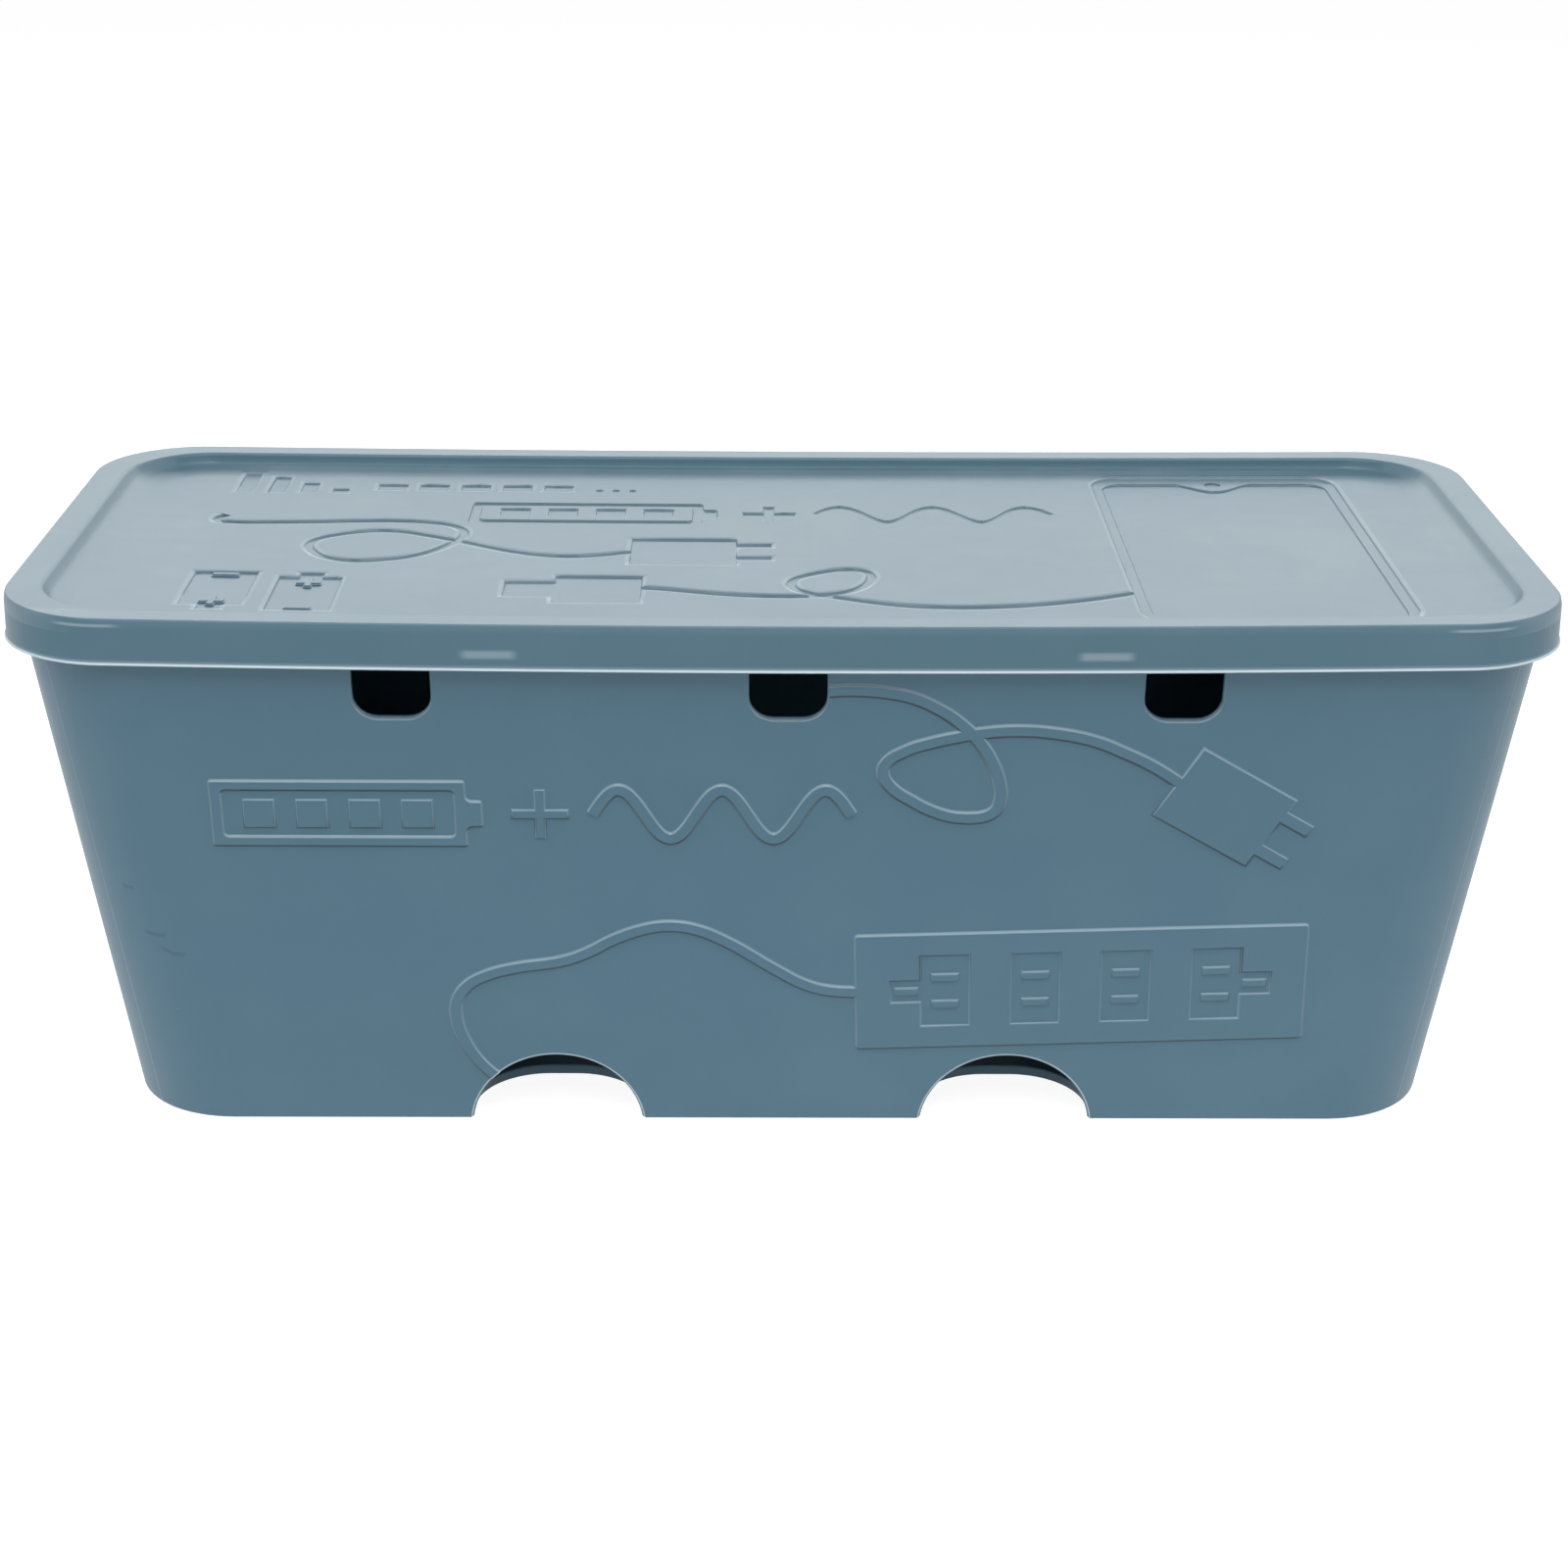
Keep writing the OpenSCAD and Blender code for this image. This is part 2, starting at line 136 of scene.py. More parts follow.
class Plastic(bpy.types.PropertyGroup):
    shade: colour("Tub colour", "Colour of the tub's plastic", (0.074, 0.172, 0.243))
    lid_shade: colour("Lid colour", "Colour of the lid's plastic", (0.065, 0.146, 0.198))
    # The pale colour is mixed in for the parting lines, specks and pale clouds, and mostly for painted
    # highlights
    pale: colour("Stressed colour", "Colour where the plastic is thin or under stress", (0.5, 0.61, 0.67))
    # The dark colour serves the rubbed marks, the weld line and painted shade
    scuff_and_shade: colour("Scuff colour", "Colour of the rubbed marks on the walls", (0.02, 0.05, 0.07))
    roughness: share("Roughness", "Roughness of the moulded skin", 0.42)
    mottle: share("Mottle", "How strongly the gloss varies from place to place", 0.4)
    grain: length("Grain", "Height of the fine grain of the mould", 0.006)


class StageSettings(bpy.types.PropertyGroup):
    floor_size: length("Floor size", "Width of the floor", 14000)
    overhead: power("Overhead lamp", "Strength of the lamp above", 17)
    back: power("Back lamp", "Strength of the lamp behind", 13)
    front: power("Front lamp", "Strength of the low lamp in front", 3.3)
    side: power("Side lamps", "Strength of the lamp at each side", 5.5)
    sky: share("Surroundings", "Brightness of the pale room around the object", 0.12, 2.0)
    lens: FloatProperty(name="Lens", description="Focal length of the camera", default=65.84, unit="CAMERA")


# ---- drawn figures, in millimetres ----

# The rounded edge of a figure, as steps of its width and its height,
# and how wide it is on a raised and on a sunk figure
SHOULDER = ((0.22, 0.07), (0.25, 0.21), (0.15, 0.34), (0.12, 0.25), (0.13, 0.1), (0.13, 0.03))
RAISED_RUN = 0.9
SUNK_RUN = 0.56
# The soft rim round a sunk figure, as steps of its width and its depth
SOFT = ((0.12, 0.04), (0.2, 0.16), (0.34, 0.38), (0.34, 0.42))
SOFT_RUN = 0.9
SOFT_DROP = 0.13
# Cuts through wall and floor: width and height of the rounded edge, and reach before and behind it
THROUGH = dict(run=0.35, rise=0.4, below=3, beyond=5, flip=True)
FLOOR_CUT = dict(run=0.3, rise=0.3, below=0.05, beyond=4, flip=True)
# A hole through a figure, and how wide the edge of a small mark is rounded
HOLE = dict(below=1, beyond=3)
SMALL_RUN = 0.4
# How much larger than their size slots, arches and floor cuts are made, for their rounded edges
SLOT_ROOM = 0.6
SILL_ROOM = 0.9
ARCH_ROOM = 0.15
NOTCH_ROOM = 0.4
SLOT_REACH = 30         # how far the tool for a slot reaches up from the sill
ARCH_CHAMFER = 0.8
NOTCH_IN = 0.1          # how far inside the wall a floor cut begins
SNAP_GAP = 0.3          # air between the tub's bead and the lid's bumps
BUMP_FACE = (0.6, 0.3)  # ends of a bump's upright face below its top, as shares of its height
# The surround of the sunk panel: how far in at the ends and at the sides, and its share of the drop
RECESS = ((0.8, 0.1, 0.3), (1.5, 0.2, 0.56), (2.2, 0.4, 0.73), (3.2, 0.9, 0.81), (4.3, 2.2, 0.89),
          (5.4, 3.8, 0.96), (6.6, 5.8, 1))
# The skirt's curve out to its lip, as shares of the lip's width and height
LIP_FLARE = ((0.04, 0.8), (0.14, 0.56), (0.32, 0.36), (0.6, 0.2), (0.9, 0.12), (1, 0.06), (1, 0))
# A charging cell: its size, pole, line and bars, which are a size, a number, a pitch and the row's middle
CELL = (54, 16.5)
CELL_R = 1.0
CELL_POLE = (3.4, 7)
CELL_LINE_W = 2.25
CELL_HOLE_R = 1.6
CELL_BARS = ((7.4, 7.7), 4, 11, (27, 0))
# The plus sign and the waving cord that follow it
PLUS_X = 69
PLUS = (12.7, 3.1)
WAVE_X = 80
WAVE = (54, 5.8)
WAVES = 2.5
LID_WAVE_W = 2.2
# Where that row begins on the tub and on the lid
CELL_PLACE = (-120, 77.5)
LID_CELL_PLACE = (-72, 23.8)
# The power strip: its body, its sockets, the bumps on the two outer ones and the pins in them
STRIP = (98.2, 30)
STRIP_R = 1.2
STRIP_PLACE = (64.4, 35, 1.9)
SOCKET = (11.6, 19)
SOCKETS = 4
SOCKET_PITCH = 19.5
SIDE_BUMP = (6.5, 6.6)
PIN = (6.2, 2.2)
PIN_Y = 3.4
SIDE_PIN = (5.4, 2.2)
SIDE_PIN_X = 2.6
# Plugs: body, pin and the distance between the pins
FRONT_PLUG = ((24.8, 19.5), (6.7, 3.9), 9.1)
FRONT_PLUG_PLACE = (81.5, 85.9, -31)
LID_PLUG = ((24, 19.6), (7.7, 3.3), 9.3)
LID_PLUG_PLACE = (-34, -5)
FRONT_CORD = (
    (4.6, 106), (9.4, 106.5), (14.4, 106.7), (20.6, 106.2), (26.4, 104.9), (31.4, 102.5), (35.6, 99.6),
    (40.2, 94.8), (43, 90.2), (44.7, 85.4), (45, 81.2), (43.8, 78.4), (40.6, 77), (36, 77), (31, 78.5),
    (26.2, 81.2), (22.4, 84), (20.5, 87), (20.7, 89.4), (25.1, 92.8), (30.1, 94.6), (35.8, 96), (41.2, 97),
    (48, 97.5), (56, 96.9), (64.4, 95), (70.4, 92.4), (76.1, 89.5), (82.3, 85.4))
STRIP_CORD = (
    (-58, 6.6), (-61.8, 10.6), (-66.4, 15.7), (-69.2, 21.1), (-70.7, 26.7), (-70.4, 31.1), (-68, 35),
    (-63.6, 37.7), (-58.1, 39.4), (-46.7, 41.5), (-41.7, 43.6), (-36.4, 46.7), (-30.3, 49.2), (-24.7, 50.2),
    (-18.9, 49.4), (-12.8, 46.7), (-1.4, 39.2), (4.2, 35.8), (9.2, 34.1), (17, 33.5))
LID_CORD = (
    (-127.2, 19.6), (-128.8, 17.2), (-128.2, 15), (-125.6, 14.2), (-115, 14.4), (-105, 15.2), (-95, 16.2),
    (-87.6, 16.5), (-80, 15.5), (-75.6, 13.7), (-72.6, 10.8), (-71.7, 6.8), (-72.6, 2.6), (-75.8, -3.7),
    (-79.4, -8.3), (-84.7, -11.9), (-92.5, -14), (-99.9, -11.9), (-103.6, -7.4), (-105.2, -2.4),
    (-103.5, 2.2), (-98.7, 6), (-94.4, 8), (-90, 8.8), (-85.1, 7.9), (-80.2, 5.6), (-71.5, 0.9),
    (-66.2, -2.5), (-60.2, -5.9), (-53.6, -8.4), (-47, -9.2), (-40.6, -8.1), (-33, -5.3))
PHONE_CORD = (
    (-31, -31), (-26, -31.8), (-20, -33.4), (-14.6, -34.8), (-8, -35.9), (-2, -36.4), (4.6, -36.2),
    (10.4, -34.7), (14.5, -32.2), (17.2, -28.6), (18.6, -24.5), (18.8, -21.3), (17.4, -18.6), (14, -17.6),
    (8.8, -19.3), (4.8, -22), (2.2, -24.9), (1.5, -27.8), (2.3, -31), (4.4, -33.4), (7.4, -35.5),
    (11.4, -37.2), (16.2, -39.4), (21.5, -41.4), (26.8, -42.8), (33.8, -43.6), (39.1, -43.7), (45.4, -43.2),
    (53.4, -41.9), (61.5, -39.6), (68.4, -37), (75.6, -33.6))
# Where each cord that crosses itself is parted in two, and the trim of its second part
FRONT_SPLIT = 12
LID_SPLIT = 15
PHONE_SPLIT = 14
TRIM = 0.01
# Marks on the lid: level bars, and dashes and dots, which are given as the bars in the cell are
LEVEL_BARS = (16.5, 13.6, 9.0, 4.4)
LEVEL_W = 4.3
LEVEL_PITCH = 7.5
LEVEL_PLACE = (-115.2, 38.6)
DASHES = ((7.4, 5.6), 5, 9.8, (-72.4, 44.3))
DOTS = ((2.2, 2.2), 3, 3.9, (-39.1, 42.4))
DOT_R = 0.9
# The lower half of a flat connector's outline, and the height of its middle line
CONNECTOR = [(-60, -5.5), (-49.4, -5.5), (-49.4, -9.4), (-30.2, -9.4)]
CONNECTOR_Y = -32.3
# The telephone, its screen and its camera eye
PHONE = (58.7, 109.8)
PHONE_R = 7.5
PHONE_PLACE = (103.45, 0.8)
SCREEN = (54.1, 103.4)
SCREEN_R = 5
SCREEN_PLACE = (103.45, -0.1)
SCREEN_DROP = (17, 6)
EYE_R = (1.9, 2.2)
EYE_DEPTH = 1.3
EYE_DROP = 1.2
# Two battery cells: where, which way the pole points, and how far the plus sign lies from that end
BATTERY = (14, 23)
BATTERY_POLE = (5.6, 2.8)
BATTERIES = ((-119.8, -34.3, -1, 3), (-101.4, -37.2, 1, 4))
PLUS_SIGN = (5.6, 1.9)
MINUS_SIGN = (6, 1.9)
MINUS_DROP = 1.9
# Rubbed marks on the front: where, half the length, bow, tilt and strength
SCUFFS = ((-139.2, 57.8, 1.4, 0.1, -0.1, 0.24), (-134.2, 46.8, 2.4, 0.1, -0.25, 0.3),
          (-130.6, 42.4, 2.6, 0.55, -0.7, 0.3))
# Cuts along which the lid and the tub's rim can bend: axis, half the reach, and number of gaps
BENDS = ((0, 156, 26), (1, 60, 10))


def oblong(w, h, x=0.0, y=0.0):
    return [(x + sx * w / 2, y + sy * h / 2) for sx, sy in ((-1, -1), (1, -1), (1, 1), (-1, 1))]


def doubled(side):
    """A whole outline from its lower half, which is mirrored about the X axis."""
    return side + [(x, -y) for x, y in reversed(side)]


def nubbed(left, right, height, nub):
    """An oblong with a nub, given as its length and height, on its right side."""
    tip = right + nub[0]
    return doubled([(left, -height / 2), (right, -height / 2), (right, -nub[1] / 2), (tip, -nub[1] / 2)])


def plus(size, line, x=0.0, y=0.0):
    a, b = size / 2, line / 2
    corners = ((-b, -a), (b, -a), (b, -b), (a, -b), (a, b), (b, b), (b, a), (-b, a), (-b, b), (-a, b),
               (-a, -b), (-b, -b))
    return [(x + px, y + py) for px, py in corners]


def plug(size, pin, pitch):
    """A two-pin plug pointing along +X, with the middle of its cord end at the origin."""
    half, tip = size[1] / 2, size[0] + pin[0]
    inner, outer = pitch / 2 - pin[1] / 2, pitch / 2 + pin[1] / 2
    return doubled([(0, -half), (size[0], -half), (size[0], -outer), (tip, -outer), (tip, -inner),
                    (size[0], -inner)])


def battery(pole):
    w, h = BATTERY[0] / 2, BATTERY[1] / 2
    p, tip = BATTERY_POLE[0] / 2, h + BATTERY_POLE[1]
    points = [(-w, -h), (w, -h), (w, h), (p, h), (p, tip), (-p, tip), (-p, h), (-w, h)]
    return points if pole > 0 else [(-x, -y) for x, y in points]


def screen():
    """The telephone's screen, with a bell-shaped drop in the middle of its upper edge."""
    w, h = SCREEN[0] / 2, SCREEN[1] / 2
    wide, deep = SCREEN_DROP
    steps = 14
    bell = []
    for i in range(steps + 1):
        swing = (1 - math.cos(2 * math.pi * i / steps)) / 2
        bell.append((wide * (0.5 - i / steps), h - deep * swing ** 0.75))
    return [(-w, -h), (w, -h), (w, h)] + bell + [(-w, h)]


def arch(radius, drop):
    """A cable arch with small chamfers at its feet."""
    first = math.asin((drop + ARCH_CHAMFER) / radius)
    steps = 40
    turns = [first + (math.pi - 2 * first) * i / steps for i in range(steps + 1)]
    foot = math.sqrt(radius ** 2 - drop ** 2) + ARCH_CHAMFER
    curve = [(radius * math.cos(turn), radius * math.sin(turn) - drop) for turn in turns]
    return [(-foot, -1), (foot, -1), (foot, 0)] + curve + [(-foot, 0)]


def spread(count, pitch):
    """The places of a number of like things in a row about 0."""
    return [(i - (count - 1) / 2) * pitch for i in range(count)]


def in_row(size, count, pitch, middle):
    return [oblong(*size, middle[0] + x, middle[1]) for x in spread(count, pitch)]


# ---- mesh tools ----

def mm(value):
    return value / MM


def linked(name, data):
    """A new object in the scene."""
    made = bpy.data.objects.new(name, data)
    bpy.context.scene.collection.objects.link(made)
    return made


def baked(made):
    """The mesh that an object's curve or modifiers give."""
    return bpy.data.meshes.new_from_object(made.evaluated_get(bpy.context.evaluated_depsgraph_get()))


def rounded(bm, geom, affect, radius, steps):
    bmesh.ops.bevel(bm, geom=geom, affect=affect, offset=radius, segments=steps, profile=0.5, material=-1)


def solid_from(bm, name):
    """Closes a bmesh into an object, with its faces pointing outwards."""
    bmesh.ops.remove_doubles(bm, verts=bm.verts, dist=SAME)
    bmesh.ops.recalc_face_normals(bm, faces=bm.faces)
    mesh = bpy.data.meshes.new(name)
    bm.to_mesh(mesh)
    bm.free()
    return linked(name, mesh)


def loose(bm, name):
    """A solid of its own from a bmesh that is given in millimetres."""
    made = solid_from(bm, name)
    made.data.transform(Matrix.Scale(MM, 4))
    return made


def grown(points, by):
    """An outline moved outwards by a distance."""
    area = sum(ax * by_ - bx * ay for (ax, ay), (bx, by_) in zip(points, points[1:] + points[:1]))
    side = by if area > 0 else -by
    out = []
    for (ax, ay), (x, y), (bx, by_) in zip(points[-1:] + points[:-1], points, points[1:] + points[:1]):
        first, second = Vector((y - ay, ax - x)).normalized(), Vector((by_ - y, x - bx)).normalized()
        move = (first + second) * (side / (1 + first.dot(second)))
        out.append((x + move.x, y + move.y))
    return out


def pulled(bm, face, move):
    """Extrudes a face and moves the new one."""
    made = bmesh.ops.extrude_face_region(bm, geom=[face])["geom"]
    end = next(g for g in made if isinstance(g, bmesh.types.BMFace))
    bmesh.ops.translate(bm, vec=move, verts=end.verts)
    return end


def upside_down(bm, level=0.0):
    for v in bm.verts:
        v.co.z = 2 * level - v.co.z


def stamped(points, radius=0.0, corners=None, *, rise, level=0.0, below=1.2, beyond=0.0, run=SUNK_RUN,
            flip=False, soft=False):
    """A closed figure in millimetres: a flat outline pulled up to level, drawn in over a rounded shoulder
    that rises by rise, and carried on straight for beyond. With flip it points down instead, and soft gives
    it a wide, faintly sunk rim."""
    bm = bmesh.new()
    if soft:
        points, radius = grown(points, SOFT_RUN), radius + SOFT_RUN if radius else 0
    verts = [bm.verts.new((x, y, level - below)) for x, y in points]
    face = bm.faces.new(verts)
    if radius:
        turning = verts if corners is None else [verts[i] for i in corners]
        rounded(bm, turning, "VERTICES", radius, max(6, round(1.2 * radius)))
        bm.faces.ensure_lookup_table()
        face = bm.faces[0]
    face.normal_update()
    if face.normal.z < 0:
        face.normal_flip()
    top = pulled(bm, face, (0, 0, below))
    steps = [(inset * run, lift * rise) for inset, lift in SHOULDER]
    if soft:
        steps = [(inset * SOFT_RUN, lift * SOFT_DROP) for inset, lift in SOFT] + steps
    for inset, lift in steps:
        bmesh.ops.inset_region(bm, faces=[top], thickness=inset, depth=lift, use_even_offset=True,
                               use_boundary=True)
    if beyond:
        pulled(bm, top, (0, 0, beyond))
        bmesh.ops.delete(bm, geom=[top], context="FACES")
    if flip:
        upside_down(bm, level)
    bmesh.ops.recalc_face_normals(bm, faces=bm.faces)
    return bm


def gathered(parts):
    """Puts several figures, which don't touch each other, into one bmesh."""
    whole = bmesh.new()
    for part in parts:
        mesh = bpy.data.meshes.new("part")
        part.to_mesh(mesh)
        part.free()
        whole.from_mesh(mesh)
        bpy.data.meshes.remove(mesh)
    return whole


def about_z(degrees, size=4):
    return Matrix.Rotation(math.radians(degrees), size, "Z")


def placed(x, y, degrees=0.0, z=0.0):
    """A move in millimetres after a turn about Z."""
    return Matrix.Translation((x * MM, y * MM, z * MM)) @ about_z(degrees)


def turned(bm, x=0.0, y=0.0, degrees=0.0):
    bmesh.ops.rotate(bm, cent=(0, 0, 0), matrix=about_z(degrees, 3), verts=bm.verts)
    bmesh.ops.translate(bm, vec=(x, y, 0), verts=bm.verts)
    return bm


def swept(points, width, *, rise, below=1.2, run=SUNK_RUN, flip=False, soft=False, trim=0.0):
    """A drawn cord in millimetres: a ridge with rounded shoulders along the points. trim takes a little off
    its width and height, so that it shares no face with a cord that it crosses."""
    half = width / 2 + run / 2 - trim + (SOFT_RUN if soft else 0)
    side = [(half, -below), (half, 0.0)]
    if soft:
        for inset, lift in SOFT:
            side.append((side[-1][0] - inset * SOFT_RUN, side[-1][1] + lift * SOFT_DROP))
    for inset, lift in SHOULDER:
        side.append((side[-1][0] - inset * run, side[-1][1] + lift * (rise - trim)))
    section = bpy.data.curves.new("section", "CURVE")
    section.dimensions = "2D"
    line = section.splines.new("POLY")
    line.use_cyclic_u = True
    outline = side + [(-x, y) for x, y in reversed(side)]
    line.points.add(len(outline) - 1)
    for point, (x, y) in zip(line.points, outline):
        point.co = (x, y, 0, 1)
    shape = linked("section", section)

    path = bpy.data.curves.new("path", "CURVE")
    path.dimensions = "3D"
    path.twist_mode = "Z_UP"
    path.resolution_u = 5
    path.bevel_mode = "OBJECT"
    path.bevel_object = shape
    path.use_fill_caps = True
    spline = path.splines.new("BEZIER")
    spline.bezier_points.add(len(points) - 1)
    for knot, (x, y) in zip(spline.bezier_points, points):
        knot.co = (x, y, 0)
        knot.handle_left_type = knot.handle_right_type = "AUTO"
    cord = linked("path", path)
    bm = bmesh.new()
    bm.from_mesh(baked(cord))
    bpy.data.objects.remove(cord)
    bpy.data.objects.remove(shape)
    if flip:
        upside_down(bm)
    bmesh.ops.remove_doubles(bm, verts=bm.verts, dist=SAME_ON_CORD)
    bmesh.ops.recalc_face_normals(bm, faces=bm.faces)
    return bm


def in_two(points, split, width, **settings):
    """A cord that crosses itself, as two stretches that share a little of their length."""
    return [swept(points[:split + 2], width, **settings), swept(points[split:], width, trim=TRIM, **settings)]


def combined(solid, bm, operation, place=Matrix.Identity(4)):
    """Joins a bmesh, given in millimetres, to a solid or cuts it out."""
    bmesh.ops.transform(bm, matrix=place @ Matrix.Scale(MM, 4), verts=bm.verts)
    tool = solid_from(bm, "tool")
    step = solid.modifiers.new("step", "BOOLEAN")
    step.operation = operation
    step.solver = "MANIFOLD"
    step.object = tool
    mesh = baked(solid)
    if not mesh.polygons:
        raise RuntimeError(f"{operation} left nothing of {solid.name}")
    solid.modifiers.clear()
    old, solid.data = solid.data, mesh
    bpy.data.meshes.remove(old)
    bpy.data.objects.remove(tool)
    return solid


def put(solid, piece, operation, place):
    """Joins another solid to a solid or cuts it out, and uses it up."""
    bm = bmesh.new()
    bm.from_mesh(piece.data)
    bpy.data.objects.remove(piece)
    bmesh.ops.scale(bm, vec=(mm(1),) * 3, verts=bm.verts)
    combined(solid, bm, operation, place)


def reshape(verts, old, new):
    """Moves the points of one ring of a shell onto another."""
    for v in verts:
        for axis in (0, 1):
            core, room = old[axis] / 2 - old[2], new[axis] / 2 - new[2]
            inner = max(-core, min(core, v.co[axis]))
            v.co[axis] = inner * room / core + (v.co[axis] - inner) * new[2] / old[2]
        v.co.z = new[3]


def shell(name, rings):
    """A closed shell through rounded rectangles: width, depth, radius, height and rounding of each."""
    bm = bmesh.new()
    w, d, r, z, _ = rings[0]
    bmesh.ops.create_grid(bm, x_segments=1, y_segments=1, size=0.5)
    bmesh.ops.scale(bm, vec=(w, d, 1), verts=bm.verts)
    rounded(bm, bm.verts[:], "VERTICES", r, CORNER_STEPS)
    bmesh.ops.translate(bm, vec=(0, 0, z), verts=bm.verts)
    loops = [bm.edges[:]]
    for old, new in zip(rings, rings[1:]):
        made = bmesh.ops.extrude_edge_only(bm, edges=loops[-1])["geom"]
        verts = [g for g in made if isinstance(g, bmesh.types.BMVert)]
        reshape(verts, old, new)
        fresh = set(verts)
        loops.append([g for g in made if isinstance(g, bmesh.types.BMEdge) and set(g.verts) <= fresh])
    bmesh.ops.edgeloop_fill(bm, edges=loops[-1])
    bmesh.ops.recalc_face_normals(bm, faces=bm.faces)
    for loop, ring in zip(loops, rings):
        if ring[4]:
            rounded(bm, loop, "EDGES", ring[4], 4)
    return solid_from(bm, name)


def sag(sizes, x, y):
    """How far the lid hangs at a place, because its thin plate gives between the ends."""
    along = 0.5 + y / (sizes.skirt_d + 2 * sizes.lip_out)
    deep = sizes.sag_front + (sizes.sag_back - sizes.sag_front) * along
    return deep * (1 - (2 * x / (sizes.skirt_w + 2 * sizes.lip_out)) ** 2)


def hang(solid, sizes, start, full):
    """Lets what lies above start hang with the lid, by the whole sag from the height full upwards."""
    bm = bmesh.new()
    bm.from_mesh(solid.data)
    for axis, half, count in BENDS:
        normal = Vector((0, 0, 0))
        normal[axis] = 1
        for i in range(count + 1):
            place = normal * (half * MM * (2 * i / count - 1))
            above = [f for f in bm.faces if max(v.co.z for v in f.verts) > start]
            near = dict.fromkeys(g for f in above for g in (*f.verts, *f.edges, f))
            bmesh.ops.bisect_plane(bm, geom=list(near), plane_co=place, plane_no=normal, dist=SAME)
    for v in bm.verts:
        if v.co.z > start:
            v.co.z -= sag(sizes, v.co.x, v.co.y) * min(1.0, (v.co.z - start) / max(full - start, SAME))
    bmesh.ops.dissolve_degenerate(bm, edges=bm.edges, dist=SAME)
    bm.to_mesh(solid.data)
    bm.free()


def finished(solid, node, body, material):
    """Shades a piece, gives it its material and puts it in the place of its CAD node."""
    solid.data.shade_smooth()
    solid.data.set_sharp_from_angle(angle=math.radians(SHARP))
    even = solid.modifiers.new("even shading", "WEIGHTED_NORMAL")
    even.weight = EVEN
    even.keep_sharp = True
    solid.data.materials.clear()
    solid.data.materials.append(material)
    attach(solid, body)
    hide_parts(node)


# ---- materials ----

# A Mix node's sockets for two colours, and its output
MIX_FIRST, MIX_SECOND, MIX_OUT = 6, 7, 2
# How many clouds, patches, grains and specks of the moulded skin lie along a metre
CLOUDS, PATCHES, GRAINS, SPECKS = 13, 55, 2300, 62
PLASTIC_IOR = 1.49
WHITE = (1, 1, 1, 1)


class Wire:
    """One output of a node. Arithmetic on it adds Math nodes to the same material."""

    def __init__(self, shader, socket):
        self.shader = shader
        self.socket = socket

    def math(self, operation, *values):
        return self.shader.node("ShaderNodeMath", {"operation": operation}, dict(enumerate((self, *values))))

    def __add__(self, other):
        return self.math("ADD", other)

    def __radd__(self, other):
        return self + other

    def __sub__(self, other):
        return self.math("SUBTRACT", other)

    def __rsub__(self, other):
        return self * -1 + other

    def __mul__(self, other):
        return self.math("MULTIPLY", other)

    def __rmul__(self, other):
        return self * other

    def __truediv__(self, other):
        return self.math("DIVIDE", other)

    def __pow__(self, other):
        return self.math("POWER", other)

    def __abs__(self):
        return self.math("ABSOLUTE")

    def ramp(self, low, high, first=0.0, last=1.0):
        """Goes smoothly from first at low to last at high."""
        return self.shader.node("ShaderNodeMapRange", {"interpolation_type": "SMOOTHSTEP"}, {
            "Value": self, "From Min": low, "From Max": high, "To Min": first, "To Max": last})

    def near(self, middle, reach, soft):
        """1 within reach of middle, fading to 0 over soft."""
        return abs(self - middle).ramp(reach, reach + soft, 1.0, 0.0)


class Shader:
    """The node tree of a material or a world."""

    def __init__(self, name, kind="materials"):
        self.made = getattr(bpy.data, kind).new(name)
        self.made.use_nodes = True
        self.tree = self.made.node_tree
        self.tree.nodes.clear()

    def node(self, kind, settings=None, sockets=None, output=0):
        made = self.tree.nodes.new(kind)
        for name, value in (settings or {}).items():
            setattr(made, name, value)
        for name, value in (sockets or {}).items():
            if isinstance(value, Wire):
                self.tree.links.new(value.socket, made.inputs[name])
            else:
                made.inputs[name].default_value = value
        return Wire(self, made.outputs[output])

    def parts(self, vector):
        """The x, y and z of a vector."""
        return [self.node("ShaderNodeSeparateXYZ", sockets={"Vector": vector}, output=axis) for axis in "XYZ"]

    def place(self):
        """The position on the piece in metres, whole and as its x, y and z."""
        at = self.node("ShaderNodeTexCoord", output="Object")
        return at, self.parts(at)

    def facing(self):
        """The x, y and z of the surface's normal."""
        return self.parts(self.node("ShaderNodeNewGeometry", output="Normal"))

    def noise(self, at, scale, detail, roughness=0.5):
        return self.node("ShaderNodeTexNoise", sockets={
            "Vector": at, "Scale": scale, "Detail": detail, "Roughness": roughness})

    def mixed(self, mask, first, second):
        """One colour where mask is 0, and another where it is 1."""
        sockets = {"Factor": mask, MIX_FIRST: first, MIX_SECOND: second}
        return self.node("ShaderNodeMix", {"data_type": "RGBA"}, sockets, output=MIX_OUT)

    def chosen(self, mask, first, second):
        """One surface where mask is 0, and another where it is 1."""
        return self.node("ShaderNodeMixShader", sockets={0: mask, 1: first, 2: second})

    def output(self, surface):
        kind = "World" if isinstance(self.made, bpy.types.World) else "Material"
        end = self.tree.nodes.new("ShaderNodeOutput" + kind)
        self.tree.links.new(surface.socket, end.inputs["Surface"])
        return self.made

    def seen_directly(self):
        """1 for what the camera sees, itself, in a gloss or through something clear, and 0 otherwise."""
        rays = [self.node("ShaderNodeLightPath", output=f"Is {kind} Ray")
                for kind in ("Camera", "Glossy", "Transmission")]
        return (rays[0] + rays[1] + rays[2]).math("MINIMUM", 1)


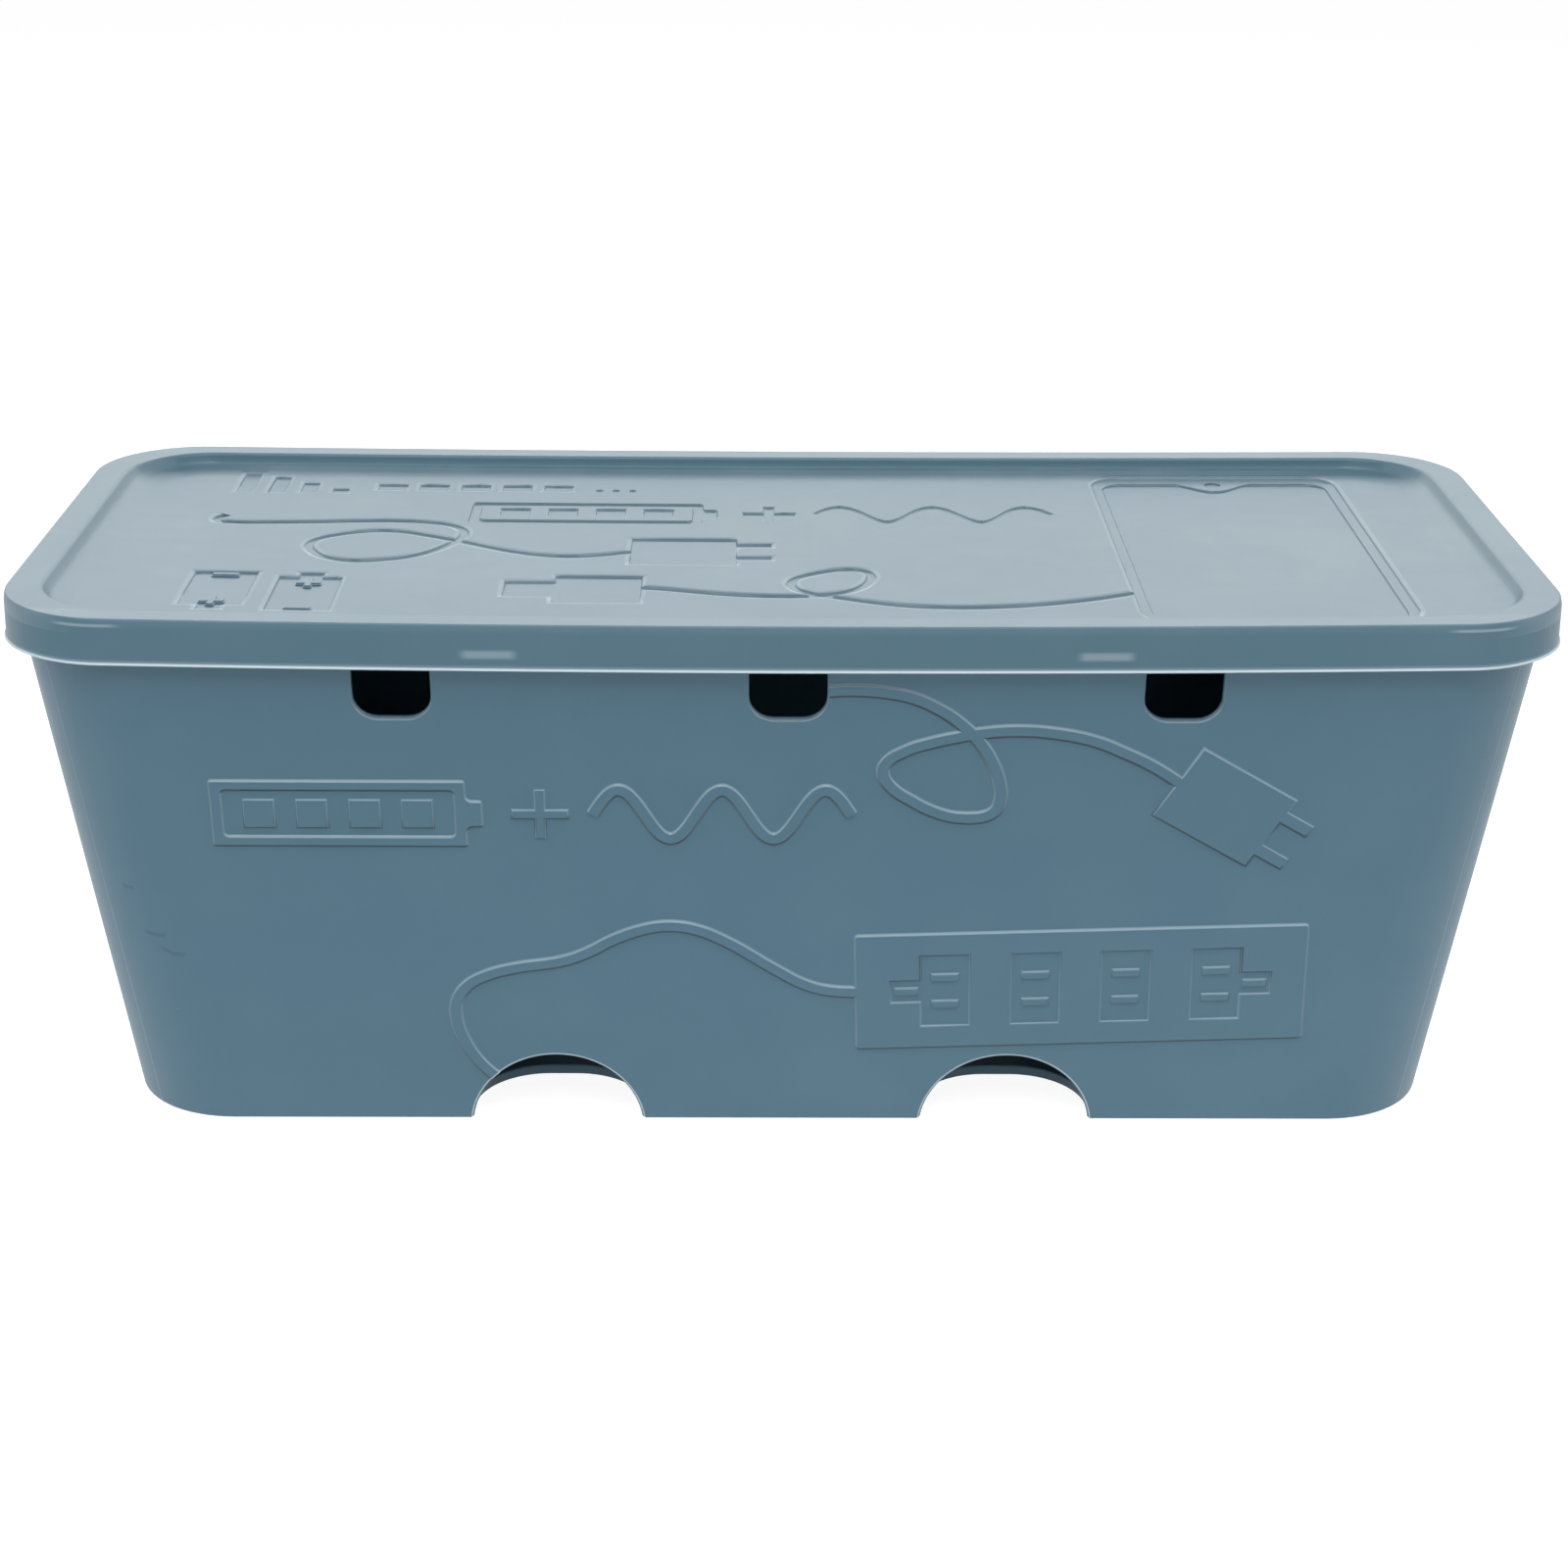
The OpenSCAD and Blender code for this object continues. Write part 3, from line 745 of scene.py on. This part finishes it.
def moulded_skin(s, at, look, shade, pale, dark, relief, haze=0.02):
    """Moulded polypropylene: satin, with a cloudy gloss, a fine grain and a few specks. pale and dark are
    masks of real marks and of painted light and shade, relief is a height in metres, and haze is how strongly
    it clouds."""
    cloud = s.noise(at, CLOUDS, 3, 0.55)
    patch = s.noise(at, PATCHES, 2, 0.5)
    grain = s.noise(at, GRAINS, 2, 0.6)
    cell = {"Vector": at, "Scale": SPECKS}
    few = s.node("ShaderNodeTexVoronoi", sockets=cell, output="Color").math("GREATER_THAN", 0.66)
    speck = s.node("ShaderNodeTexVoronoi", sockets=cell).ramp(0.012, 0.02, 1, 0) * few
    gloss = (cloud - 0.5) * 0.7 + (patch - 0.5) * 0.3
    bloom = cloud.ramp(0.42, 0.68) * haze + patch.ramp(0.42, 0.7) * (haze / 2)
    pale_tone = (*look.pale, 1)
    tint = s.mixed(bloom, (*shade, 1), pale_tone)
    tint = s.mixed(dark, tint, (*look.scuff_and_shade, 1))
    tint = s.mixed((pale + speck * 0.4).math("MINIMUM", 1), tint, pale_tone)
    rough = gloss * (look.mottle * 0.5) + look.roughness + speck * 0.1
    height = grain * look.grain + gloss * (0.12 * MM) + relief
    bump = s.node("ShaderNodeBump", sockets={"Strength": 1, "Distance": 1, "Height": height}, output="Normal")
    return s.output(s.node("ShaderNodeBsdfPrincipled", sockets={
        "Base Color": tint, "Roughness": rough, "IOR": PLASTIC_IOR, "Normal": bump}))


def tub_plastic(look, t):
    """The tub's plastic: corner parting lines, rubbed marks, painted highlights on rims and edges, painted
    shade.
    """
    s = Shader("blue_grey_plastic_tub")
    at, (x, y, z) = s.place()
    face_x, _, face_z = s.facing()
    out = z * (t.lean / t.lean_h)
    across = abs(x) - (t.base_w / 2 - t.corner_r) - out
    deep = abs(y) - (t.base_d / 2 - t.corner_r) - out

    corner = across.math("MINIMUM", deep).ramp(6 * MM, 12 * MM)
    line = (across - deep).near(0, 0.1 * MM, 0.3 * MM) * corner
    parting = line * z.ramp(30 * MM, 100 * MM, 1, 0.35)
    rise = z / math.cos(math.atan(t.lean / t.lean_h))
    # A painted highlight: a thin pale line along the rim of each arch
    hoop = ((abs(x) - t.arch_pitch / 2) ** 2 + (rise + t.arch_drop) ** 2) ** 0.5
    rim = hoop.near(t.arch_r + 0.3 * MM, 0.05 * MM, 0.15 * MM)
    rubbed = sum(rubbed_mark(x, z, *mark) for mark in SCUFFS) * y.math("LESS_THAN", 0)

    wall = deep.near(t.corner_r, 1.2 * MM, 0.2 * MM) * across.ramp(-1 * MM, 0, 1, 0)
    wall = wall * z.ramp(0.8 * MM, 1 * MM)
    # Painted highlights on the upper and side faces of the figures' edges, and painted shade on their lower
    # faces
    edge_highlight = wall * (face_z.ramp(0.05, 0.6) * 0.3 + abs(face_x).ramp(0.25, 0.75) * 0.2)
    shaded = wall * face_z.ramp(-0.45, -0.2, 1, 0) * 0.85
    # Painted light: paler towards the bottom of the wall; painted shade: darker towards the top, under the
    # lid
    pale = parting * 0.2 + rim + edge_highlight + z.ramp(0, 50 * MM, 0.02, 0)
    dark = rubbed + shaded + z.ramp(30 * MM, 110 * MM, 0, 0.13)
    return moulded_skin(s, at, look, look.shade, pale, dark, line * (0.04 * MM))


def rubbed_mark(x, z, place_x, place_z, half, bow, tilt, weight):
    """A short bowed mark, given in millimetres."""
    along = (x - place_x * MM) / (half * MM)
    line = z - place_z * MM - along * along * (bow * MM) - along * (tilt * MM)
    return along.near(0, 0.7, 0.5) * line.near(0, 0.2 * MM, 0.6 * MM) * weight


def lid_plastic(look, lid):
    """The lid's plastic: a weld line, sink marks on the skirt over the snap bumps, and painted highlights on
    them, on the lip, at the front corners, on the land, in the recess and on the sunk figures' near edges;
    painted shade on the step below the lip and on the figures' far edges."""
    s = Shader("blue_grey_plastic_lid")
    at, (x, y, z) = s.place()
    face_x, face_y, face_z = s.facing()
    across, deep = abs(x), abs(y)
    level = z + sag(lid, x, y)
    low = lid.top - lid.skirt_h
    lip = low + lid.step_h
    panel_top = lid.top - lid.drop
    end, side = lid.panel_w / 2, lid.panel_d / 2

    past_side = (deep - (side - 0.5 * MM)).ramp(0, 1 * MM)
    outside = (across - (end - 9.7 * MM)).ramp(0, 1 * MM).math("MAXIMUM", past_side)
    wander = s.noise(at, 30, 1) * (2 * MM)
    weld = (x + wander).near(7 * MM, 0.4 * MM, 1 * MM) * y.near(-4 * MM, 16 * MM, 12 * MM)
    # Sink marks over the snap bumps: a real shallow dip, and a painted highlight on it
    sink = abs(x - 2.4 * MM).near(lid.bump_pitch / 2, 4 * MM, 2.5 * MM)
    sink = sink * level.near(low + 3.75 * MM, 0.3 * MM, 1 * MM) * deep.ramp(side + 3.5 * MM, side + 5.5 * MM)
    # Painted highlight: a thin bright line along the lip, and a paler flare above it
    bright = level.near(lip + 0.2 * MM, 0.2 * MM, 0.12 * MM) * 0.75
    bright = (bright + level.ramp(lip + 0.4 * MM, lip + 1.2 * MM, 0.25, 0)) * outside
    # Painted shadow: the small step below the lip is darkened as the gap under the lid
    gap_shadow = level.ramp(lip - 0.06 * MM, lip, 1, 0) * outside
    # Painted highlights: short pale streaks below the top edge at the front corners
    corner_highlight = level.near(lid.top - 1.35 * MM, 0.1 * MM, 0.35 * MM) * y.math("LESS_THAN", 0)
    corner_highlight = corner_highlight * across.near(end - 13.7 * MM, 4 * MM, 4 * MM)
    # A painted highlight on the top of the land in front of and behind the panel
    land = level.ramp(lid.top - 0.2 * MM, lid.top - 0.1 * MM) * past_side

    arm = (across - (end - 20.2 * MM)).math("MAXIMUM", 0)
    leg = (deep - (side - 18.5 * MM)).math("MAXIMUM", 0)
    panel = ((arm ** 2 + leg ** 2) ** 0.5).ramp(12.7 * MM, 13.4 * MM, 1, 0)
    panel = panel * y.ramp(7 * MM - side, 8.5 * MM - side)
    panel = panel * level.ramp(panel_top - 0.9 * MM, panel_top - 0.8 * MM)
    # A painted highlight on the sloped surround at the panel's ends, where it faces sideways
    slope = across.ramp(end - 22.7 * MM, end - 0.7 * MM) * abs(face_x).ramp(0.1, 0.8) * outside
    slope = slope * level.near(lid.top - lid.drop / 2, 1.5 * MM, 0.2 * MM)
    # A painted highlight on the panel at the foot of the recess wall, in front and behind, fading towards the
    # ends
    foot = deep.ramp(side - 10 * MM, side - 2 * MM) * deep.ramp(side - 0.3 * MM, side + 1 * MM, 1, 0)
    foot = foot * across.ramp(end - 39.7 * MM, end - 9.7 * MM, 1, 0)
    foot = foot * level.near(panel_top, 0.5 * MM, 0.25 * MM)
    # Painted highlights on the near walls and sides of the sunk figures, and painted shade on their far walls
    edge_highlight = panel * (face_y.ramp(0.03, 0.1) * 0.5 + abs(face_x).ramp(0.04, 0.14) * 0.15)
    shaded = panel * face_y.ramp(-0.8, -0.3, 1, 0)

    pale = bright + corner_highlight * 0.35 + sink * 0.32 + land * 0.06 + slope * 0.12 + foot * 0.15 + edge_highlight
    dark = weld * 0.05 + gap_shadow * 0.9 + shaded * 0.5
    # Pale clouds, five times stronger on faces turned up: random tone, and on the top a painted sheen
    haze = face_z.ramp(0.5, 0.9, 0.02, 0.1)
    return moulded_skin(s, at, look, look.lid_shade, pale, dark, sink * (-0.05 * MM), haze)


# ---- operators ----

class CABLEBOX_OT_tub(bpy.types.Operator):
    """Build the tub: leaning walls, rim band with a snap bead, slots, arches and raised figures"""
    bl_idname = "cable_box.tub"
    bl_label = "Tub"

    def execute(self, context):
        t = context.scene.cable_box_tub
        rim = (t.base_w + 2 * t.lean, t.base_d + 2 * t.lean)
        rim_z = t.lean_h + t.band_h
        mouth = (rim[0] - 2 * t.wall, rim[1] - 2 * t.wall, t.corner_r - t.wall)
        bead_top = rim_z - t.bead_drop
        inner = t.lean * (t.lean_h - t.floor) / t.lean_h
        bead = (rim[0] + 2 * t.bead_out, rim[1] + 2 * t.bead_out, t.corner_r + t.bead_out)
        tub = shell("tub_shell", [
            (t.base_w, t.base_d, t.corner_r, 0, 0.7 * MM),
            (*rim, t.corner_r, t.lean_h, 0),
            (*rim, t.corner_r, bead_top - t.bead_h, 0),
            (*bead, bead_top - t.bead_h + t.bead_out, 0),
            (*bead, bead_top - t.bead_out, 0),
            (*rim, t.corner_r, bead_top, 0),
            (*rim, t.corner_r, rim_z, 0.5 * MM),
            (*mouth, rim_z, 0.5 * MM),
            (*mouth, t.lean_h, 0),
            (mouth[0] - 2 * inner, mouth[1] - 2 * inner, mouth[2], t.floor, 2 * MM),
        ])
        lean = math.atan(t.lean / t.lean_h)
        front = Matrix.Translation((0, -t.base_d / 2, 0)) @ Matrix.Rotation(math.radians(90) + lean, 4, "X")
        self.figures(t, tub, front)

        half = (mm(t.slot_w) + SLOT_ROOM) / 2
        sill = mm(t.slot_sill) / math.cos(lean) - SILL_ROOM
        slot = [(-half, sill), (half, sill), (half, sill + SLOT_REACH), (-half, sill + SLOT_REACH)]
        hoop = arch(mm(t.arch_r) + ARCH_ROOM, mm(t.arch_drop))
        near, far = mm(t.base_d / 2 - t.wall) - NOTCH_IN, mm(t.base_d / 2 - t.notch_depth)
        notch = oblong(mm(2 * t.arch_r) + NOTCH_ROOM, near - far, 0, (near + far) / 2)
        slots, arches = spread(3, mm(t.slot_pitch)), spread(2, mm(t.arch_pitch))
        for degrees in (0, 180):
            turn = about_z(degrees)
            shift = mm(t.slot_shift) * math.cos(math.radians(degrees))
            cuts = [turned(stamped(slot, mm(t.slot_r), (0, 1), **THROUGH), shift + x) for x in slots]
            cuts += [turned(stamped(hoop, **THROUGH), x) for x in arches]
            combined(tub, gathered(cuts), "DIFFERENCE", turn @ front)
            cuts = [turned(stamped(notch, mm(t.notch_r), (0, 1), level=mm(t.floor), **FLOOR_CUT), x)
                    for x in arches]
            combined(tub, gathered(cuts), "DIFFERENCE", turn)
        hang(tub, context.scene.cable_box_lid, t.lean_h, rim_z)
        finished(tub, "tub", "tub", tub_plastic(context.scene.cable_box_plastic, t))
        return {"FINISHED"}

    def figures(self, t, tub, front):
        cord_w = mm(t.cord_w)
        drawn = dict(rise=mm(t.relief), run=RAISED_RUN)
        place = front @ placed(*STRIP_PLACE)
        put(tub, self.strip(drawn), "UNION", place)
        combined(tub, gathered(self.pins(drawn["rise"])), "UNION", place)
        combined(tub, turned(stamped(plug(*FRONT_PLUG), **drawn), *FRONT_PLUG_PLACE), "UNION", front)
        row = front @ placed(*CELL_PLACE)
        put(tub, cell_frame(**drawn), "UNION", row)
        combined(tub, gathered(cell_marks(cord_w, **drawn)), "UNION", row)
        cords = in_two(FRONT_CORD, FRONT_SPLIT, cord_w, **drawn)
        for part in (*cords, swept(STRIP_CORD, cord_w, **drawn)):
            combined(tub, part, "UNION", front)

    def strip(self, drawn):
        """The power strip's body, with its sockets open."""
        strip = loose(stamped(oblong(*STRIP), STRIP_R, **drawn), "strip")
        hole = dict(level=drawn["rise"], flip=True, **HOLE, **drawn)
        left, *middle, right = spread(SOCKETS, SOCKET_PITCH)
        outer = nubbed(-SOCKET[0] / 2, SOCKET[0] / 2, SOCKET[1], SIDE_BUMP)
        holes = [turned(stamped(outer, **hole), right), turned(stamped(outer, **hole), left, 0, 180)]
        holes += [stamped(oblong(*SOCKET, x, 0), **hole) for x in middle]
        return combined(strip, gathered(holes), "DIFFERENCE")

    def pins(self, rise):
        """The pins in the sockets, and one in each side bump."""
        sockets = spread(SOCKETS, SOCKET_PITCH)
        side = sockets[-1] + SOCKET[0] / 2 + SIDE_PIN_X
        places = [(*PIN, x, y) for x in sockets for y in (-PIN_Y, PIN_Y)]
        places += [(*SIDE_PIN, x, 0) for x in (-side, side)]
        return [stamped(oblong(*place), rise=rise, run=SMALL_RUN) for place in places]


def cell_frame(rise, run=SUNK_RUN, flip=False):
    """The outline of a charging cell, as a solid."""
    drawn = dict(rise=rise, run=run)
    cell = loose(stamped(nubbed(0, CELL[0], CELL[1], CELL_POLE), CELL_R, flip=flip, **drawn), "cell")
    inside = oblong(CELL[0] - 2 * CELL_LINE_W, CELL[1] - 2 * CELL_LINE_W, CELL[0] / 2, 0)
    level = -rise if flip else rise
    hole = stamped(inside, CELL_HOLE_R, level=level, flip=not flip, **HOLE, **drawn)
    return combined(cell, hole, "DIFFERENCE")


def cell_marks(cord_w, **settings):
    """The bars in the cell, a plus sign and a waving cord."""
    marks = [stamped(points, **settings) for points in in_row(*CELL_BARS)]
    marks.append(stamped(plus(*PLUS, PLUS_X, 0), **settings))
    steps = 40
    wave = [(WAVE_X + i * WAVE[0] / steps, WAVE[1] * math.sin(i * 2 * math.pi * WAVES / steps))
            for i in range(steps + 1)]
    marks.append(swept(wave, cord_w, **settings))
    return marks


class CABLEBOX_OT_lid(bpy.types.Operator):
    """Build the lid: skirt with its lip, land, snap bumps, sunk panel and sunk figures"""
    bl_idname = "cable_box.lid"
    bl_label = "Lid"

    def execute(self, context):
        s = context.scene.cable_box_lid
        low = s.top - s.skirt_h
        lip_low = low + s.step_h
        draft = 2 * s.flare / s.skirt_h

        def skirt(inset, z):
            grow = -2 * inset - draft * (z - low)
            return (s.skirt_w + grow, s.skirt_d + grow, s.skirt_r + grow / 2, z)

        def panel(wide, deep, z):
            return (s.panel_w + 2 * wide, s.panel_d + 2 * deep, s.panel_r + (wide + deep) / 2, z)

        def flare(out, up):
            grow = 2 * out * s.lip_out
            return (s.skirt_w + grow, s.skirt_d + grow, s.skirt_r + grow / 2, lip_low + up * s.lip_h, 0)

        under = s.top - s.plate
        surround = [(*panel(-wide * MM, -deep * MM, s.top - down * s.drop), 0)
                    for wide, deep, down in reversed(RECESS)]
        lid = shell("lid_cover", [
            *surround,
            (*panel(0, 0, s.top), 0.6 * MM),
            (*skirt(s.edge_in, s.top), 0.35 * MM),
            (*skirt(0, s.top - s.edge_h), 0.6 * MM),
            (*skirt(0, lip_low + s.lip_h), 0),
            *(flare(out, up) for out, up in LIP_FLARE),
            (*skirt(s.step_in, lip_low), 0),
            (*skirt(s.step_in, low), 0.1 * MM),
            (*skirt(s.skirt_wall, low), 0.3 * MM),
            (*skirt(s.skirt_wall, under), 0.5 * MM),
            (*panel(s.plate, s.plate, under), 0),
            (*panel(-1.5 * MM, -0.3 * MM, under - s.drop), 0.8 * MM),
        ])
        combined(lid, self.bumps(s, context.scene.cable_box_tub), "UNION")
        self.figures(s, lid, Matrix.Translation((0, 0, s.top - s.drop)))
        hang(lid, s, 0.0, 0.0)
        finished(lid, "lid", "lid", lid_plastic(context.scene.cable_box_plastic, s))
        return {"FINISHED"}

    def bumps(self, s, t):
        """Four low ramps inside the skirt, just below the tub's bead."""
        face = mm(t.base_d / 2 + t.lean + t.bead_out) + SNAP_GAP
        root = mm(s.skirt_d - s.skirt_wall) / 2
        top = mm(t.lean_h + t.band_h - t.bead_drop - t.bead_h) - SNAP_GAP
        high, wide = mm(s.bump_h), mm(s.bump_w)
        corners = [*((face, top - share * high) for share in BUMP_FACE), (root, top), (root, top - high)]
        whole = bmesh.new()
        for side in (-1, 1):
            for x in spread(2, mm(s.bump_pitch)):
                ramp = whole.faces.new([whole.verts.new((x - wide / 2, side * y, z)) for y, z in corners])
                pulled(whole, ramp, (wide, 0, 0))
        bmesh.ops.recalc_face_normals(whole, faces=whole.faces)
        return whole

    def figures(self, s, lid, panel):
        rise, cord_w = mm(s.sunk), mm(s.cord_w)
        plain = dict(rise=rise, flip=True)
        down = dict(below=1, soft=True, **plain)
        bars = [oblong(LEVEL_W, high, LEVEL_PLACE[0] + x, LEVEL_PLACE[1] + high / 2)
                for x, high in zip(spread(len(LEVEL_BARS), LEVEL_PITCH), LEVEL_BARS)]
        marks = [stamped(points, **down) for points in bars + in_row(*DASHES)]
        marks += [stamped(points, DOT_R, below=1, **plain) for points in in_row(*DOTS)]
        marks.append(turned(stamped(doubled(CONNECTOR), **down), 0, CONNECTOR_Y))
        marks.append(turned(stamped(plug(*LID_PLUG), **down), *LID_PLUG_PLACE))
        marks.append(turned(stamped(oblong(*PHONE), PHONE_R, **down), *PHONE_PLACE))
        combined(lid, gathered(marks), "DIFFERENCE", panel)
        for x, y, pole, plus_drop in BATTERIES:
            body = loose(turned(stamped(battery(pole), **down), x, y), "battery")
            kept = dict(level=-rise, rise=rise, run=SMALL_RUN, below=1, beyond=2)
            end = BATTERY[1] / 2
            signs = [stamped(plus(*PLUS_SIGN, x, y + pole * (end - plus_drop)), **kept),
                     stamped(oblong(*MINUS_SIGN, x, y - pole * (end - MINUS_DROP)), **kept)]
            put(lid, combined(body, gathered(signs), "DIFFERENCE"), "DIFFERENCE", panel)
        row = panel @ placed(*LID_CELL_PLACE)
        put(lid, cell_frame(**plain), "DIFFERENCE", row)
        combined(lid, gathered(cell_marks(LID_WAVE_W, **plain)), "DIFFERENCE", row)
        cords = in_two(LID_CORD, LID_SPLIT, cord_w, **down) + in_two(PHONE_CORD, PHONE_SPLIT, cord_w, **down)
        for part in cords:
            combined(lid, part, "DIFFERENCE", panel)
        glass = panel @ placed(*SCREEN_PLACE, z=-rise)
        combined(lid, stamped(screen(), SCREEN_R, (0, 1, 2, -1), **down), "DIFFERENCE", glass)
        eye = bmesh.new()
        bmesh.ops.create_cone(eye, cap_ends=True, segments=32, radius1=EYE_R[0], radius2=EYE_R[1],
                              depth=EYE_DEPTH)
        bmesh.ops.translate(eye, vec=(0, SCREEN[1] / 2 - EYE_DROP, EYE_DEPTH / 2 - rise), verts=eye.verts)
        combined(lid, eye, "DIFFERENCE", glass)


# Lamps: name, place, height that each aims at, width and height, and the setting of its strength
LAMPS = (("overhead_lamp", (0, -0.85, 1.35), 0.1, (1.4, 1.0), "overhead"),
         ("back_lamp", (0, 1.3, 0.8), 0.12, (2.4, 0.5), "back"),
         ("front_lamp", (0, -1.8, 0.45), 0.06, (1.6, 0.6), "front"),
         ("left_lamp", (-1.7, -0.3, 0.7), 0.06, (1.0, 1.0), "side"),
         ("right_lamp", (1.7, -0.3, 0.7), 0.06, (1.0, 1.0), "side"))
# Where the camera stands, and its turn, downward tilt and roll in degrees
CAMERA_PLACE = (-0.00716, -0.61481, 0.30353)
CAMERA_TURNS = (-0.73, 21.60, 0.46)
# How bright the white floor is: for the light it throws back, as it is seen, and its glow
FLOOR_BOUNCE = (0.85, 0.85, 0.85, 1)
FLOOR_SEEN = (0.35, 0.35, 0.35, 1)
FLOOR_GLOW = 0.92


class CABLEBOX_OT_stage(bpy.types.Operator):
    """Set up the floor, the lamps, the surroundings and the camera"""
    bl_idname = "cable_box.stage"
    bl_label = "Stage"

    def execute(self, context):
        g = context.scene.cable_box_stage
        bm = bmesh.new()
        bmesh.ops.create_grid(bm, x_segments=1, y_segments=1, size=g.floor_size / 2)
        mesh = bpy.data.meshes.new("floor")
        bm.to_mesh(mesh)
        bm.free()
        mesh.materials.append(self.white_floor())
        linked("floor", mesh)
        for name, place, aim, size, strength in LAMPS:
            self.lamp(name, place, (0, 0, aim), size, getattr(g, strength))
        self.surroundings(context, g)
        self.camera(context, g)
        context.scene.view_settings.view_transform = "Standard"
        return {"FINISHED"}

    def white_floor(self):
        s = Shader("white_floor")
        bounce = s.node("ShaderNodeBsdfDiffuse", sockets={"Color": FLOOR_BOUNCE})
        seen = s.node("ShaderNodeBsdfDiffuse", sockets={"Color": FLOOR_SEEN})
        glow = s.node("ShaderNodeEmission", sockets={"Color": WHITE, "Strength": FLOOR_GLOW})
        bright = s.node("ShaderNodeAddShader", sockets={0: seen, 1: glow})
        return s.output(s.chosen(s.seen_directly(), bounce, bright))

    def surroundings(self, context, g):
        s = Shader("pale_room", "worlds")
        room = s.node("ShaderNodeBackground", sockets={"Color": WHITE, "Strength": g.sky})
        white = s.node("ShaderNodeBackground", sockets={"Color": WHITE, "Strength": 1})
        context.scene.world = s.output(s.chosen(s.seen_directly(), room, white))

    def lamp(self, name, place, target, size, watts):
        data = bpy.data.lights.new(name, "AREA")
        data.shape = "RECTANGLE"
        data.size, data.size_y = size
        data.energy = watts
        made = linked(name, data)
        made.location = place
        made.rotation_euler = (Vector(target) - Vector(place)).to_track_quat("-Z", "Y").to_euler()

    def camera(self, context, g):
        data = bpy.data.cameras.new("camera")
        data.lens = g.lens
        data.sensor_width = 36
        data.clip_start = 0.05
        made = linked("camera", data)
        turn, tilt, roll = CAMERA_TURNS
        tilted = Matrix.Rotation(math.radians(90 - tilt), 4, "X")
        made.matrix_world = Matrix.Translation(CAMERA_PLACE) @ about_z(turn) @ tilted @ about_z(roll)
        context.scene.camera = made


class CABLEBOX_PT_panel(bpy.types.Panel):
    """The cable box's pieces and stage"""
    bl_idname = "CABLEBOX_PT_panel"
    bl_label = "Cable box"
    bl_space_type = "VIEW_3D"
    bl_region_type = "UI"
    bl_category = "Cable box"

    def draw(self, context):
        for operator in OPERATORS:
            self.layout.operator(operator.bl_idname)
        for name in GROUPS:
            box = self.layout.box()
            group = getattr(context.scene, name)
            for prop in group.bl_rna.properties:
                if prop.identifier not in {"rna_type", "name"}:
                    box.prop(group, prop.identifier)


GROUPS = {"cable_box_tub": TubSizes, "cable_box_lid": LidSizes, "cable_box_plastic": Plastic,
          "cable_box_stage": StageSettings}
OPERATORS = (CABLEBOX_OT_stage, CABLEBOX_OT_tub, CABLEBOX_OT_lid)


def register():
    for made in (*GROUPS.values(), *OPERATORS, CABLEBOX_PT_panel):
        bpy.utils.register_class(made)
    for name, group in GROUPS.items():
        setattr(bpy.types.Scene, name, PointerProperty(type=group))


def unregister():
    for name in GROUPS:
        delattr(bpy.types.Scene, name)
    for made in (CABLEBOX_PT_panel, *reversed(OPERATORS), *reversed(GROUPS.values())):
        bpy.utils.unregister_class(made)


def main():
    register()
    bpy.ops.cable_box.stage()
    bpy.ops.cable_box.tub()
    bpy.ops.cable_box.lid()


if __name__ == "__main__":
    main()
